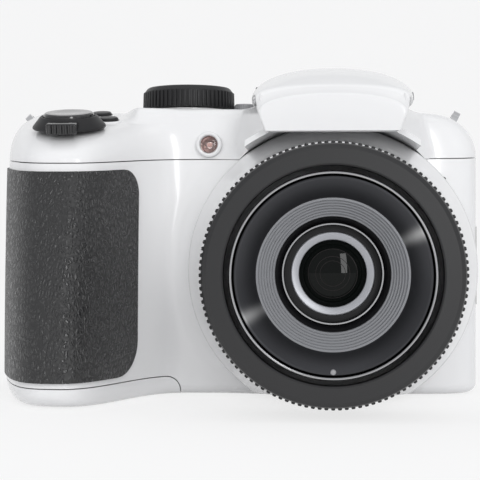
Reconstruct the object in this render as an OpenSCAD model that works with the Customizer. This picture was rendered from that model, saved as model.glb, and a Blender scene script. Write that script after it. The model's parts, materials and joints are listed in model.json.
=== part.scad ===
// Bridge camera: moulded shells round a retracting zoom lens, with a pop-up flash and a metal chassis.
// X runs to the right as seen from the front, Y runs from the front to the back and Z runs up.
// The origin is the mouth of the tripod socket, which lies under the lens axis.

/* [Body] */
// Width of the body from the grip end to the lens end
body_w = 119.8; // [112:0.1:128]
// Lens axis to the lens end of the body
lens_side = 37.3; // [36.5:0.1:42]
// Tripod axis to the flat front face
front_depth = 15; // [14.5:0.1:18]
// Tripod axis to the back face
back_depth = 15; // [14.5:0.1:18]
// Tripod axis to the joint between front and rear covers
joint_y = 7; // [6.5:0.1:8]
// Height of the top cover's seam at the front face
seam_z = 59.5; // [58:0.1:62]
// Rise of the seam per millimetre towards the back
seam_tilt = 0.09; // [0.05:0.01:0.12]
// Height of the top deck at the grip end
deck_z = 73.9; // [71.5:0.1:75]
// Fall of the top deck from the grip end to the lens end
deck_fall = 2.7; // [0.5:0.1:3]
// Radius of the shoulders
shoulder_r = 10.5; // [8:0.1:12]
// Squareness of the body in plan
plan_power = 7; // [5:0.5:9]
// Wall of the moulded covers
wall = 1.8; // [1.5:0.1:2.2]
// Edge radius under the lens end
foot_r = 2.6; // [2.4:0.1:4]
// Edge radius under the grip
grip_foot_r = 5; // [4.4:0.1:7]
// Gap along the moulded seams
seam_gap = 0.25; // [0.15:0.05:0.4]

/* [Grip] */
// Grip end of the body to the crest of the grip
grip_in = 16.6; // [14:0.1:19]
// Half width of the grip
grip_half = 17; // [15:0.1:19]
// Reach of the grip ahead of the front face
grip_out = 35; // [30:0.1:38]
// Share of the grip's reach that is lost at the seam
grip_lean = 0.34; // [0.25:0.01:0.45]
// Thickness of the leather-grained pad
pad_t = 0.9; // [0.6:0.1:1.4]
// Bottom edge of the pad
pad_low = 6; // [5.7:0.1:9]
// Gap between the pad's top edge and the seam
pad_drop = 1.9; // [1.5:0.1:4]
// Crest of the grip to the pad's inner edge
pad_reach = 18.6; // [14:0.1:19]

/* [Battery door] */
// Height of the door's seam
door_h = 4.7; // [4.2:0.1:5.2]
// Grip end of the body to the door's inner end
door_len = 43.9; // [38:0.1:46]
// Height of the hinge axis
door_hinge_z = 1; // [0.9:0.05:1.2]
// Radius of the hinge pin
door_pin_r = 0.6; // [0.4:0.05:0.7]
// Length of the hinge pin
door_pin_l = 16; // [14:0.5:17]

/* [Lens] */
// Height of the lens axis
lens_z = 31.6; // [30.6:0.1:33]
// Reach of the lens ring ahead of the front face
lens_out = 54; // [51:0.5:58]
// Width of the ring's face from its bore to the tips of the knurl
ring_face = 5.38; // [5:0.02:6.2]
// Length of the ring
ring_l = 22; // [19:0.5:24]
// Recess between the sliding barrel and the ring's bore
ring_recess = 1.26; // [1:0.02:1.8]
// Number of ridges in the knurl
ring_ridges = 124; // [90:1:140]
// Height of the ridges
ridge_h = 0.8; // [0.4:0.1:1]
// Radius of the collar where it leaves the body
collar_r = 35.9; // [35:0.1:37]
// Outer radius of the sliding barrel
barrel_r = 22.6; // [22.2:0.05:22.9]
// Wall of the sliding barrel
barrel_wall = 0.75; // [0.6:0.05:0.9]
// Length of the sliding barrel
barrel_l = 47; // [44:0.5:50]
// Outward travel of the sliding barrel
barrel_travel = 18; // [12:0.5:20]
// Outward travel of the front barrel on the sliding barrel
nose_travel = 16; // [10:0.5:18]
// Radius of the front glass that shows
glass_r = 7.7; // [7:0.1:8.4]
// Running clearance between barrels
slide_gap = 0.3; // [0.2:0.05:0.4]

/* [Drive] */
// Gear module of the zoom drive
gear_module = 0.5; // [0.45:0.05:0.55]
// Teeth on the motor pinion
pinion_teeth = 12; // [11:1:13]
// Direction of the motor from the lens axis
motor_angle = 200; // [196:1:206]
// Radius of the zoom motor
motor_r = 5; // [4:0.1:5.4]

/* [Flash] */
// Half width of the flash head
flash_half = 19.7; // [19:0.1:21]
// Height of the flash head above the deck
flash_h = 9.3; // [9:0.1:12]
// Reach of the brow ahead of the front face
brow_out = 28.6; // [27.5:0.1:31]
// Height of the brow's lower edge
brow_z = 64.7; // [64:0.1:66]
// Reach of the canopy under the flash head
canopy_out = 26; // [24:0.1:26.6]
// Half width of the canopy at the seam
canopy_half = 22.6; // [21.6:0.1:23.4]
// Tripod axis to the flash hinge axis
flash_hinge_y = 4; // [3:0.1:5]

/* [Controls] */
// Grip end of the body to the shutter axis
shutter_in = 17; // [15:0.1:19]
// Shutter axis ahead of the front face
shutter_out = 8.5; // [7:0.1:11]
// Forward tilt of the shutter axis
shutter_tilt = 13; // [10:0.5:16]
// Radius of the shutter button
shutter_r = 6.3; // [5.5:0.1:6.8]
// Radius of the zoom lever's skirt
lever_r = 9.1; // [8.6:0.1:9.6]
// Travel of the shutter button
shutter_travel = 1; // [0.6:0.1:1.2]
// Radius of the mode dial
dial_r = 12.1; // [10:0.1:12.6]
// Height of the mode dial
dial_h = 5.7; // [5:0.1:7.5]
// Number of ribs round the mode dial
dial_ribs = 60; // [40:1:72]
// Gap between the mode dial and the power button
dial_gap = 0.2; // [0.2:0.1:1]
// Radius of the rear keys
key_r = 3.2; // [2.6:0.1:3.5]
// Stand of the keys above the back face
key_stand = 0.7; // [0.5:0.1:1.2]
// Clearance round the keys
key_gap = 0.2; // [0.1:0.05:0.3]

/* [Back and sides] */
// Width of the screen's window
screen_w = 66; // [60:0.5:67]
// Height of the screen's window
screen_h = 50; // [44:0.5:51]
// Thread core radius of the tripod socket
tripod_r = 2.55; // [2.4:0.05:2.7]
// Depth of the tripod socket
tripod_l = 5.5; // [4.5:0.5:6]
// Radius of the hole in a strap lug
lug_hole_r = 1; // [0.8:0.1:1.5]

/* [Hidden] */
$fn = 64;
eps = 0.02;

// Frame
left_x = lens_side - body_w;
mid_x = lens_side - body_w / 2;
half_w = body_w / 2;
grip_x = left_x + grip_in;
corner_k = pow(0.5, 1 / plan_power);
rim_y = joint_y + seam_gap;

// Mesh density of the moulded shells
side_n = 6;
face_n = 50;
foot_n = 4;
rise_n = 8;
top_n = 10;
bump_power = 3;
foot_blend = 26;
lift_z = 10;
STATIONS = concat(
    [for (i = [0:side_n - 1]) -1 + (1 - corner_k) * i / side_n],
    [for (i = [0:face_n]) corner_k * (2 * i / face_n - 1)],
    [for (i = [1:side_n]) corner_k + (1 - corner_k) * i / side_n]
);

// Top cover
grip_v = 0.69;
grip_curve = 2.3;
deck_cut = 18;
deck_crown = 0.15;
deck_step_in = 9.5;
deck_step_w = 7;
top_lean = 1.5;
top_edge_r = 1.6;
top_edge_v = 0.8;
canopy_taper = 2.6;
canopy_nose = 15.2;
canopy_nose_taper = 0.4;
canopy_power = 1.35;
canopy_clear = 0.4;
liner_t = 1.2;
liner_angle = 70;

// Lens stack, as distances ahead of the tripod axis
ring_bore_r = barrel_r + ring_recess;
ring_r = ring_bore_r + ring_face;
ring_f = front_depth + lens_out;
ring_back_f = ring_f - ring_l;
collar_f = ring_back_f - 0.1;
collar_neck_r = ring_r + 1.1;
collar_full_f = collar_f - 19;
collar_back_f = front_depth - wall - 0.4;
collar_low = 1.2;
cam_wall = 2.7;
gear_land = 0.7;
cam_teeth = 2 * round((barrel_r + cam_wall + gear_land) / gear_module);
pitch_cam = gear_module * cam_teeth / 2;
pitch_pinion = gear_module * pinion_teeth / 2;
tooth_add = 0.8 * gear_module;
tooth_ded = 1.24 * gear_module;
tooth_tip_w = 0.52 * gear_module;
tooth_root_w = 1.68 * gear_module;
housing_gap = 0.6;
housing_wall = 0.8;
housing_r = pitch_cam + tooth_add + housing_gap + housing_wall;
housing_seat = 0.15;
housing_front_f = ring_back_f - 0.5;
plate_f = front_depth - 8.2;
plate_t = 1.5;
post_r = 2;
post_d = housing_r - housing_wall - post_r;
guide_gap = 2.15;
guide_wall = 1.3;
guide_front_f = ring_back_f - 3;
cam_r = pitch_cam - gear_land;
cam_land_r = housing_r - housing_wall - slide_gap;
cam_front_f = housing_front_f - 0.5;
cam_back_f = plate_f + plate_t + 0.7;
cam_gear_w = 3;
motor_d = pitch_cam + pitch_pinion;
motor_x = motor_d * cos(motor_angle);
motor_z = lens_z + motor_d * sin(motor_angle);
barrel_f = ring_f - 0.1;
barrel_back_f = barrel_f - barrel_l;
nose_r = barrel_r - barrel_wall - slide_gap;
nose_wall = 1.2;
guide_r = nose_r - nose_wall - guide_gap;
nose_f = ring_f - 0.5;
nose_back_f = barrel_back_f + 2;
fit_gap = 0.05;
cone_in_r = 17;
cone_depth = 5.6;
cone_wall = 0.25;
nose_rim = 0.3;
nose_seat = cone_depth * (nose_wall + fit_gap - nose_rim + cone_wall) / (nose_r - nose_rim - cone_in_r);
step_count = 6;
step_in_r = 13.5;
step_depth = 6;
bezel_r = 11.5;
bezel_f = ring_f - 14.6;
cell_back_f = ring_back_f - 0.4;
glass_f = ring_f - 18.4;
group_r = guide_r - guide_wall - slide_gap;
zoom_lens_r = 8;
zoom_group_f = 33;
zoom_cell_l = 6;
zoom_lens_l = 4;
focus_lens_r = 7;
focus_group_f = 14;
focus_cell_l = 4;
focus_lens_l = 3;
pad_seat = 0.45;
sensor_w = 10;
sensor_h = 8;
sensor_t = 0.8;
sensor_gap = 1.2;
flex_w = 32;
flex_h = 24;
flex_t = 1.2;
dome_r = 16;
motor_shaft_r = 0.75;
index_r = 0.6;
index_in = 0.75;

// Chassis and inner parts
board_t = 1;
board_low = 8;
board_high = seam_z - 3.5;
chip_w = 11;
chip_h = 1.4;
standoff_r = 1.6;
cap_r = 4.6;
cap_l = 28;
cap_x = -4;
cap_gap = 0.85;
chassis_y = joint_y - 3;
chassis_t = 1;
hinge_x = left_x + door_len - (door_h - seam_gap - door_hinge_z);
door_round = door_h - seam_gap - door_hinge_z;
arm_front_y = -10;
arm_t = 1;
arm_gap = 0.3;
pin_fit = 0.04;
pack_w = 7;
pack_d = 35;
pack_h = 46;
pack_gap = 0.3;
pack_wall = 1;
pack_x = grip_x - 1;
pack_z = door_h + 0.6;
card_t = 2.1;
card_w = 24;
card_h = 32;
card_x = grip_x + 10.5;

// Flash
flash_base_z = deck_at(-flash_half) + 0.3;
flash_wall = 1.6;
lip_t = brow_out - canopy_out + 0.2;
floor_gap = 0.35;
floor_back = 7.5;
floor_t = 1;
brow_y = -(front_depth + brow_out);
flash_arch = 2.3;
lug_x = 11;
lug_t = 1.4;
ear_x = 7.5;
ear_t = 1.5;
ear_r = 1.6;
flash_pin_r = 0.9;
trough_half = 14.6;
trough_gap = 0.6;
rear_r = 4.8;
window_w = 25;
window_d = 9;
window_y = brow_y + 18;

// Controls
shutter_x = left_x + shutter_in;
shutter_y = -(front_depth + shutter_out);
shutter_z = top_surface_z(shutter_x, shutter_y);
lever_top_h = 3.4;
lever_gap = 0.3;
hub_r = 3.4;
hub_h = 1.6;
lever_fit = 0.06;
stem_r = 2.1;
lever_tab_w = 7.4;
lever_tab_out = 2.6;
power_x = -(flash_half + 3.1);
power_y = -3;
power_r = 2.6;
dial_x = power_x - power_r - dial_gap - dial_r;
dial_y = -1;
dial_base_z = deck_at(dial_x - dial_r) + 0.3;
top_key_r = 2.6;
top_key_travel = 0.6;
drive_x = shutter_x + 5;
drive_y = -3.5;
exposure_x = shutter_x + 8;
exposure_y = shutter_y + 11.6;
lamp_in = 51.3;
lamp_x = left_x + lamp_in;
lamp_z = seam_z + 3.9;
lamp_r = 2.2;
lamp_bezel_r = 3.25;
lamp_stand = 1.7;
mic_x = lens_side - 9.2;
mic_z = seam_z - 5;
mic_r = 0.55;

// Back and sides
back_in_y = back_depth - wall;
screen_x = lens_side - 8 - screen_w / 2;
screen_z = 33;
panel_t = 3.4;
panel_gap = 0.9;
key_flange = 0.7;
key_flange_t = 0.8;
key_travel = 0.6;
pad_shift = 2.6;
pad_x = (left_x + screen_x - screen_w / 2) / 2 + pad_shift;
pad_z = 30;
pad_r = 9.5;
ok_r = 3.6;
keyboard_y = back_in_y - 3.4;
flap_y0 = -7.5;
flap_y1 = joint_y - 2.4;
flap_z = lens_z + 1;
flap_h = 20;
flap_t = 1.2;
flap_gap = 0.2;
flap_x = lens_side - 0.75;
bush_r = 5.5;
bush_cap = 1.5;
lug_t_plate = 1.8;
lug_w = 6;
lug_h = 3.1;
lug_root = 2;
lug_back = 4;
lug_angle_left = 45;
lug_angle_right = 62;
screw_r = 1;
screw_head_r = 1.7;
screw_gap = 0.12;
SCREWS = [[-28, -5], [lens_side - 10, -7], [lens_side - 24, 4]];

// Shape rules
function sign_of(v) = v < 0 ? -1 : 1;
function clamp01(v) = min(1, max(0, v));
function smooth(v) = let (c = clamp01(v)) c * c * (3 - 2 * c);
function unit(s) = abs(s) <= corner_k
    ? [s, pow(1 - pow(abs(s), plan_power), 1 / plan_power)]
    : let (q = corner_k * (1 - abs(s)) / (1 - corner_k)) [sign_of(s) * pow(1 - pow(q, plan_power),
        1 / plan_power), q];
function bump(x) = exp(-pow(abs(x - grip_x) / grip_half, bump_power));
function grip_at(z) = grip_out * (1 - grip_lean * pow(z / seam_z, 2));
function foot(x) = foot_r + (grip_foot_r - foot_r) * smooth((left_x + door_len - x) / foot_blend);
function deck_at(x) = deck_z - deck_fall * (x - left_x) / body_w;
function seam_at(y) = seam_z + seam_tilt * (y + front_depth);
function lift(z, y) = z + seam_tilt * (y + front_depth) * pow(clamp01((z - lift_z) / (seam_z - lift_z)), 2);

function front_xy(u, z, ins) =
    let (x = mid_x + (half_w - ins) * u[0])
    [x, joint_y - (front_depth + joint_y - ins + grip_at(z) * bump(x)) * u[1]];
function back_xy(u, z, ins) = [mid_x + (half_w - ins) * u[0], rim_y + (back_depth - rim_y - ins) * u[1]];
function low_xy(u, z, ins, front) = front ? front_xy(u, z, ins) : back_xy(u, z, ins);
function low_point(u, z, ins, front) = let (p = low_xy(u, z, ins, front)) [p[0], p[1], lift(z, p[1])];
function low_rows(s, w, front) =
    let (u = unit(s), r = foot(mid_x + half_w * u[0]))
    concat(
        [[mid_x + (half_w - r) * s, front ? joint_y : rim_y, w]],
        [for (j = [0:foot_n])
            let (t = 90 * j / foot_n) low_point(u, w + (r - w) * (1 - cos(t)),
                w + (r - w) * (1 - sin(t)), front)],
        [for (j = [1:rise_n]) low_point(u, r + (seam_z - r) * j / rise_n, w, front)]
    );

// Top cover rules: v runs from 0 at the seam to 1 at the deck
function shoulder_in(v) = shoulder_r * (1 - sqrt(1 - v * v));
function edge_in(v) =
    top_lean * v + top_edge_r * (1 - sqrt(1 - pow(clamp01((v - top_edge_v) / (1 - top_edge_v)), 2)));
function grip_reach(v) = v < grip_v
    ? grip_at(seam_z) * (1 - pow(v / grip_v, grip_curve))
    : -deck_cut * (v - grip_v) / (1 - grip_v);
function deck_step(x) = 1 - smooth((x - grip_x - deck_step_in) / deck_step_w);
function canopy(x, v) =
    let (
        wide = canopy_half - canopy_taper * v,
        t = clamp01((wide - abs(x)) / (wide - canopy_nose + canopy_nose_taper * v))
    )
    canopy_out * (1 - pow(1 - t, canopy_power));
function reach_at(x, v) = let (g = grip_reach(v)) g * (g > 0 ? bump(x) : deck_step(x)) + canopy(x, v);
function top_point(u, v, w, front) =
    let (
        x = mid_x + (half_w - shoulder_in(v) - w) * u[0],
        y = front
            ? joint_y - (front_depth + joint_y - w - edge_in(v) + reach_at(x, v)) * u[1]
            : joint_y + (back_depth - joint_y - w - edge_in(v)) * u[1],
        low = seam_at(y) + seam_gap
    )
    [x, y, low + (deck_at(x) - w - low) * v];
function top_rows(s, w, front) = let (u = unit(s)) [for (j = [0:top_n]) top_point(u, sin(90 * j / top_n),
    w, front)];
function top_ridge(s, w) =
    let (x = mid_x + (half_w - shoulder_r - w) * s)
    [x, joint_y, deck_at(x) - w + deck_crown * (1 - s * s)];
// Height of the sloping top of the grip at a point near its crest
function top_v(x, y) =
    let (
        q = unit((x - mid_x) / (half_w - shoulder_in(0.6)))[1],
        g = (joint_y - y) / q - front_depth - joint_y + top_lean * 0.6
    )
    g > 0 ? grip_v * pow(1 - g / grip_at(seam_z), 1 / grip_curve) : grip_v - g * (1 - grip_v) / deck_cut;
function top_surface_z(x, y) = let (low = seam_at(y) + seam_gap) low + (deck_at(x) - low) * top_v(x, y);

// Closed solid between an outer and an inner grid of points
module thick_patch(outer, inner) {
    m = len(outer);
    n = len(outer[0]);
    pts = concat([for (c = outer) each c], [for (c = inner) each c]);
    function o(i, j) = i * n + j;
    function k(i, j) = m * n + i * n + j;
    skin = [for (i = [0:m - 2], j = [0:n - 2]) each [
        [o(i, j), o(i + 1, j), o(i + 1, j + 1)], [o(i, j), o(i + 1, j + 1), o(i, j + 1)],
        [k(i, j), k(i + 1, j + 1), k(i + 1, j)], [k(i, j), k(i, j + 1), k(i + 1, j + 1)]
    ]];
    ends = [for (j = [0:n - 2]) each [
        [o(0, j), o(0, j + 1), k(0, j + 1)], [o(0, j), k(0, j + 1), k(0, j)],
        [o(m - 1, j), k(m - 1, j + 1), o(m - 1, j + 1)], [o(m - 1, j), k(m - 1, j), k(m - 1, j + 1)]
    ]];
    rims = [for (i = [0:m - 2]) each [
        [o(i, 0), k(i + 1, 0), o(i + 1, 0)], [o(i, 0), k(i, 0), k(i + 1, 0)],
        [o(i, n - 1), o(i + 1, n - 1), k(i + 1, n - 1)], [o(i, n - 1), k(i + 1, n - 1), k(i, n - 1)]
    ]];
    polyhedron(pts, [for (f = concat(skin, ends, rims)) [f[2], f[1], f[0]]], convexity = 6);
}

// Closed shell over a full loop of stations, shut along a ridge line
module ridge_shell() {
    m = len(STATIONS) - 1;
    loop = 2 * m;
    n = top_n + 1;
    function station(k) = k <= m ? STATIONS[k] : STATIONS[loop - k];
    function ridge_of(k) = k <= m ? k : loop - k;
    outer = [for (k = [0:loop - 1]) each top_rows(station(k), 0, k <= m)];
    inner = [for (k = [0:loop - 1]) each top_rows(station(k), wall, k <= m)];
    ridge_out = [for (s = STATIONS) top_ridge(s, 0)];
    ridge_in = [for (s = STATIONS) top_ridge(s, wall)];
    pts = concat(outer, inner, ridge_out, ridge_in);
    function o(k, j) = (k % loop) * n + j;
    function q(k, j) = loop * n + (k % loop) * n + j;
    function ro(k) = 2 * loop * n + ridge_of(k % loop);
    function ri(k) = 2 * loop * n + m + 1 + ridge_of(k % loop);
    skin = [for (k = [0:loop - 1], j = [0:n - 2]) each [
        [o(k, j), o(k + 1, j + 1), o(k + 1, j)], [o(k, j), o(k, j + 1), o(k + 1, j + 1)],
        [q(k, j), q(k + 1, j), q(k + 1, j + 1)], [q(k, j), q(k + 1, j + 1), q(k, j + 1)]
    ]];
    caps = [for (k = [0:loop - 1]) each [
        [o(k, n - 1), ro(k + 1), o(k + 1, n - 1)], [o(k, n - 1), ro(k), ro(k + 1)],
        [q(k, n - 1), q(k + 1, n - 1), ri(k + 1)], [q(k, n - 1), ri(k + 1), ri(k)]
    ]];
    rim = [for (k = [0:loop - 1]) each [[o(k, 0), o(k + 1, 0), q(k + 1, 0)], [o(k, 0), q(k + 1, 0), q(k,
        0)]]];
    polyhedron(pts, concat(skin, caps, rim), convexity = 8);
}

// Turned shape about the lens axis; profile points are [radius, distance ahead of the tripod axis]
module lens_turn(profile) {
    translate([0, 0, lens_z])
        rotate([90, 0, 0])
            rotate_extrude($fn = 96)
                polygon(profile);
}
module lens_tube(r_out, r_in, f0, f1) {
    lens_turn([[r_in, f0], [r_out, f0], [r_out, f1], [r_in, f1]]);
}
module lens_rod(r, f0, f1) {
    translate([0, -f0, lens_z])
        rotate([90, 0, 0])
            cylinder(r = r, h = f1 - f0);
}
// Round bar along Y
module y_rod(x, y0, y1, z, r) {
    translate([x, y1, z])
        rotate([90, 0, 0])
            cylinder(r = r, h = y1 - y0);
}
// Round bar along X
module x_rod(x0, x1, y, z, r) {
    translate([x0, y, z])
        rotate([0, 90, 0])
            cylinder(r = r, h = x1 - x0);
}
module box(x0, x1, y0, y1, z0, z1) {
    translate([x0, y0, z0])
        cube([x1 - x0, y1 - y0, z1 - z0]);
}
// Toothed outline; phase turns the first tooth
module gear_outline(teeth, pitch_r, phase) {
    root = pitch_r - tooth_ded;
    tip = pitch_r + tooth_add;
    polygon([for (i = [0:teeth - 1]) each
        let (a = phase + 360 * i / teeth, wr = tooth_root_w / 2 / root * 180 / PI,
            wt = tooth_tip_w / 2 / tip * 180 / PI)
        [
            root * [cos(a - wr), sin(a - wr)], tip * [cos(a - wt), sin(a - wt)],
            tip * [cos(a + wt), sin(a + wt)], root * [cos(a + wr), sin(a + wr)]
        ]]);
}
// Ridged outline for knurls and dials
module ridge_outline(count, r_root, r_tip) {
    polygon([for (i = [0:count - 1]) each
        let (a = 360 * i / count, p = 360 / count)
        [
            r_root * [cos(a), sin(a)], r_root * [cos(a + p * 0.25), sin(a + p * 0.25)],
            r_tip * [cos(a + p * 0.45), sin(a + p * 0.45)], r_tip * [cos(a + p * 0.8), sin(a + p * 0.8)]
        ]]);
}

// Moulded covers
module low_shell(front) {
    thick_patch(
        [for (s = STATIONS) low_rows(front ? s : -s, 0, front)],
        [for (s = STATIONS) low_rows(front ? s : -s, wall, front)]
    );
}
function collar_profile(extra) = concat(
    [[0, collar_back_f], [collar_r + extra, collar_back_f], [collar_r + extra, collar_full_f]],
    [for (i = [1:7])
        let (t = i / 8, e = pow(1 - t, 2))
        [collar_neck_r + extra + (collar_r - collar_neck_r) * e,
            collar_full_f + (collar_f - collar_full_f) * t]],
    [[collar_neck_r + extra, collar_f], [0, collar_f]]
);
module screw_holes() {
    for (p = SCREWS)
        translate([p[0], p[1], 0]) {
            translate([0, 0, -1])
                cylinder(r = screw_r + screw_gap, h = 6);
            translate([0, 0, -1])
                cylinder(r = screw_head_r + screw_gap, h = 2);
        }
}
module door_zone(extra) {
    y0 = -(front_depth + grip_out + 10);
    box(left_x - 10, hinge_x, y0, joint_y + eps, -5, door_h - seam_gap + extra);
    y_rod(hinge_x, y0, joint_y + eps, door_hinge_z, door_round + extra);
    box(hinge_x - 1, hinge_x + door_round + extra, y0, joint_y + eps, -5, door_hinge_z);
}

module front_cover() {
    color("white")
    difference() {
        union() {
            low_shell(true);
            intersection() {
                lens_turn(collar_profile(0));
                box(-collar_r, collar_r, -ring_f, 0, collar_low, deck_z);
            }
        }
        lens_rod(housing_r + housing_seat, 0, ring_f);
        door_zone(seam_gap);
        translate([0, 0, -1])
            cylinder(r = bush_r + fit_gap, h = 6);
        screw_holes();
        y_rod(mic_x, -front_depth - 2, -front_depth + 4, mic_z, mic_r);
        box(flap_x - flap_t / 2 - 0.05, lens_side + 3, flap_y0 - flap_gap, flap_y1,
            flap_z - flap_h / 2 - flap_gap,
            flap_z + flap_h / 2 + flap_gap);
        box(flap_x, lens_side + 3, flap_y1 - eps, flap_y1 + flap_t / 2 + flap_gap,
            flap_z - flap_h / 2 - flap_gap, flap_z + flap_h / 2 + flap_gap);
        translate([flap_x, flap_y1, flap_z - flap_h / 2 - flap_gap])
            cylinder(r = flap_t / 2 + flap_gap, h = flap_h + 2 * flap_gap);
        socket_zone(0.15);
    }
}

module rear_cover() {
    color("white")
    difference() {
        low_shell(false);
        box(screen_x - screen_w / 2, screen_x + screen_w / 2, back_in_y - 3, back_depth + 3,
            screen_z - screen_h / 2,
            screen_z + screen_h / 2);
        for (p = KEYS)
            y_rod(p[0], back_in_y - 4, back_depth + 3, p[1], p[2] + key_gap);
    }
}

// Bore for a round top key whose axis leans with the deck
module at_top(x, y) {
    translate([x, y, top_surface_z(x, y)])
        rotate([shutter_tilt, 0, 0])
            children();
}
module top_cover() {
    color("white")
    difference() {
        union() {
            ridge_shell();
            translate([0, 0, lens_z])
                rotate([90, 0, 0])
                    rotate([0, 0, 90 - liner_angle / 2])
                        rotate_extrude(angle = liner_angle, $fn = 96)
                            translate([collar_r + canopy_clear, front_depth - 1])
                                square([liner_t, canopy_out - 1.5]);
            at_top(shutter_x, shutter_y) {
                translate([0, 0, -4])
                    cylinder(r = lever_r - 1, h = 4 + lever_gap);
                cylinder(r = hub_r, h = hub_h);
            }
            at_top(drive_x, drive_y)
                translate([0, 0, -2])
                    cylinder(r = top_key_r + 1.2, h = 2.3);
            at_top(exposure_x, exposure_y)
                translate([0, 0, -2])
                    cylinder(r = top_key_r + 1.2, h = 2.3);
            translate([dial_x, dial_y, deck_at(dial_x) - wall + 0.1])
                cylinder(r = dial_r - 1.5, h = dial_base_z - 0.2 - deck_at(dial_x) + wall);
        }
        lens_rod(collar_r + canopy_clear, 5, ring_f + 5);
        box(-trough_half - trough_gap, trough_half + trough_gap, -12, flash_hinge_y + rear_r + 0.5,
            deck_z - 6, deck_z + 4);
        at_top(shutter_x, shutter_y)
            translate([0, 0, -8])
                cylinder(r = stem_r + 0.1, h = 12);
        at_top(drive_x, drive_y)
            translate([0, 0, -6])
                cylinder(r = top_key_r + key_gap, h = 12);
        at_top(exposure_x, exposure_y)
            translate([0, 0, -6])
                cylinder(r = top_key_r + key_gap, h = 12);
        translate([dial_x, dial_y, deck_z - 8])
            cylinder(r = hub_r + lever_fit, h = 12);
        translate([power_x, power_y, deck_z - 8])
            cylinder(r = power_r + key_gap, h = 12);
        y_rod(lamp_x, -front_depth - 4, -front_depth + 6, lamp_z, lamp_r + 0.35);
        y_rod(lamp_x, -front_depth - 4, -front_depth + 1.3, lamp_z, lamp_bezel_r + fit_gap);
    }
}

// Leather-grained pad over the grip
function pad_edge_s(f) =
    let (
        low = clamp01(1 - f / 0.17),
        high = clamp01(1 - (1 - f) / 0.13),
        cut = 3.6 * (1 - sqrt(1 - low * low)) + 3 * (1 - sqrt(1 - high * high))
    )
    (grip_x + pad_reach - cut - mid_x) / half_w;
function pad_row_z(f) = pad_low + (seam_z - pad_drop - pad_low) * f;
PAD_F = [0, 0.02, 0.05, 0.1, 0.17, 0.27, 0.37, 0.47, 0.57, 0.67, 0.77, 0.87, 0.92, 0.96, 0.985, 1];
pad_cols = 30;
function pad_column(i, ins) = [for (f = PAD_F)
    let (s0 = -1 + (1 - corner_k) * 0.16, s1 = pad_edge_s(f), u = unit(s0 + (s1 - s0) * i / pad_cols))
    low_point(u, pad_row_z(f), ins, true)];
module grip_pad() {
    color("dimgray")
    thick_patch(
        [for (i = [0:pad_cols]) pad_column(i, -pad_t - pad_seat)],
        [for (i = [0:pad_cols]) pad_column(i, -pad_seat)]
    );
}

// Battery door, its hinge and latch
latch_x = left_x + 17;
latch_y = -14;
latch_l = 8;
latch_w = 5.4;
latch_travel = 3;
latch_t = 0.8;
module battery_door() {
    color("white")
    difference() {
        union() {
            intersection() {
                low_shell(true);
                door_zone(0);
            }
            intersection() {
                y_rod(hinge_x, arm_front_y + arm_t + arm_gap, chassis_y - arm_gap, door_hinge_z,
                    door_pin_r + 1.2);
                box(hinge_x - 5, hinge_x + 5, -30, 30, 0.1, 5);
            }
        }
        y_rod(hinge_x, -60, joint_y + 1, door_hinge_z, door_pin_r + pin_fit + 0.03);
        y_rod(hinge_x, arm_front_y - arm_gap, arm_front_y + arm_t + arm_gap, door_hinge_z,
            door_round + 0.7);
        y_rod(hinge_x, chassis_y - arm_gap, chassis_y + chassis_t + arm_gap, door_hinge_z,
            door_round + 0.7);
        box(latch_x - latch_l / 2 - 0.2, latch_x + latch_l / 2 + latch_travel + 0.2,
            latch_y - latch_w / 2 - 0.2,
            latch_y + latch_w / 2 + 0.2, -1, latch_t + 0.15);
        box(latch_x - 1.7, latch_x + 1.7 + latch_travel, latch_y - 1.4, latch_y + 1.4, -1, wall + 2);
    }
}
module battery_latch() {
    color("silver") {
        box(latch_x - latch_l / 2, latch_x + latch_l / 2, latch_y - latch_w / 2, latch_y + latch_w / 2,
            0.05, latch_t);
        box(latch_x - 1.5, latch_x + 1.5, latch_y - 1.2, latch_y + 1.2, 0.3, wall + 0.4);
        box(latch_x - 3.4, latch_x + 2.4, latch_y - 2.4, latch_y + 2.4, wall + 0.3, wall + 1.3);
    }
}
module door_hinge_pin() {
    color("silver")
    y_rod(hinge_x, chassis_y + chassis_t + 0.6 - door_pin_l, chassis_y + chassis_t + 0.6, door_hinge_z,
        door_pin_r);
}

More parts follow.
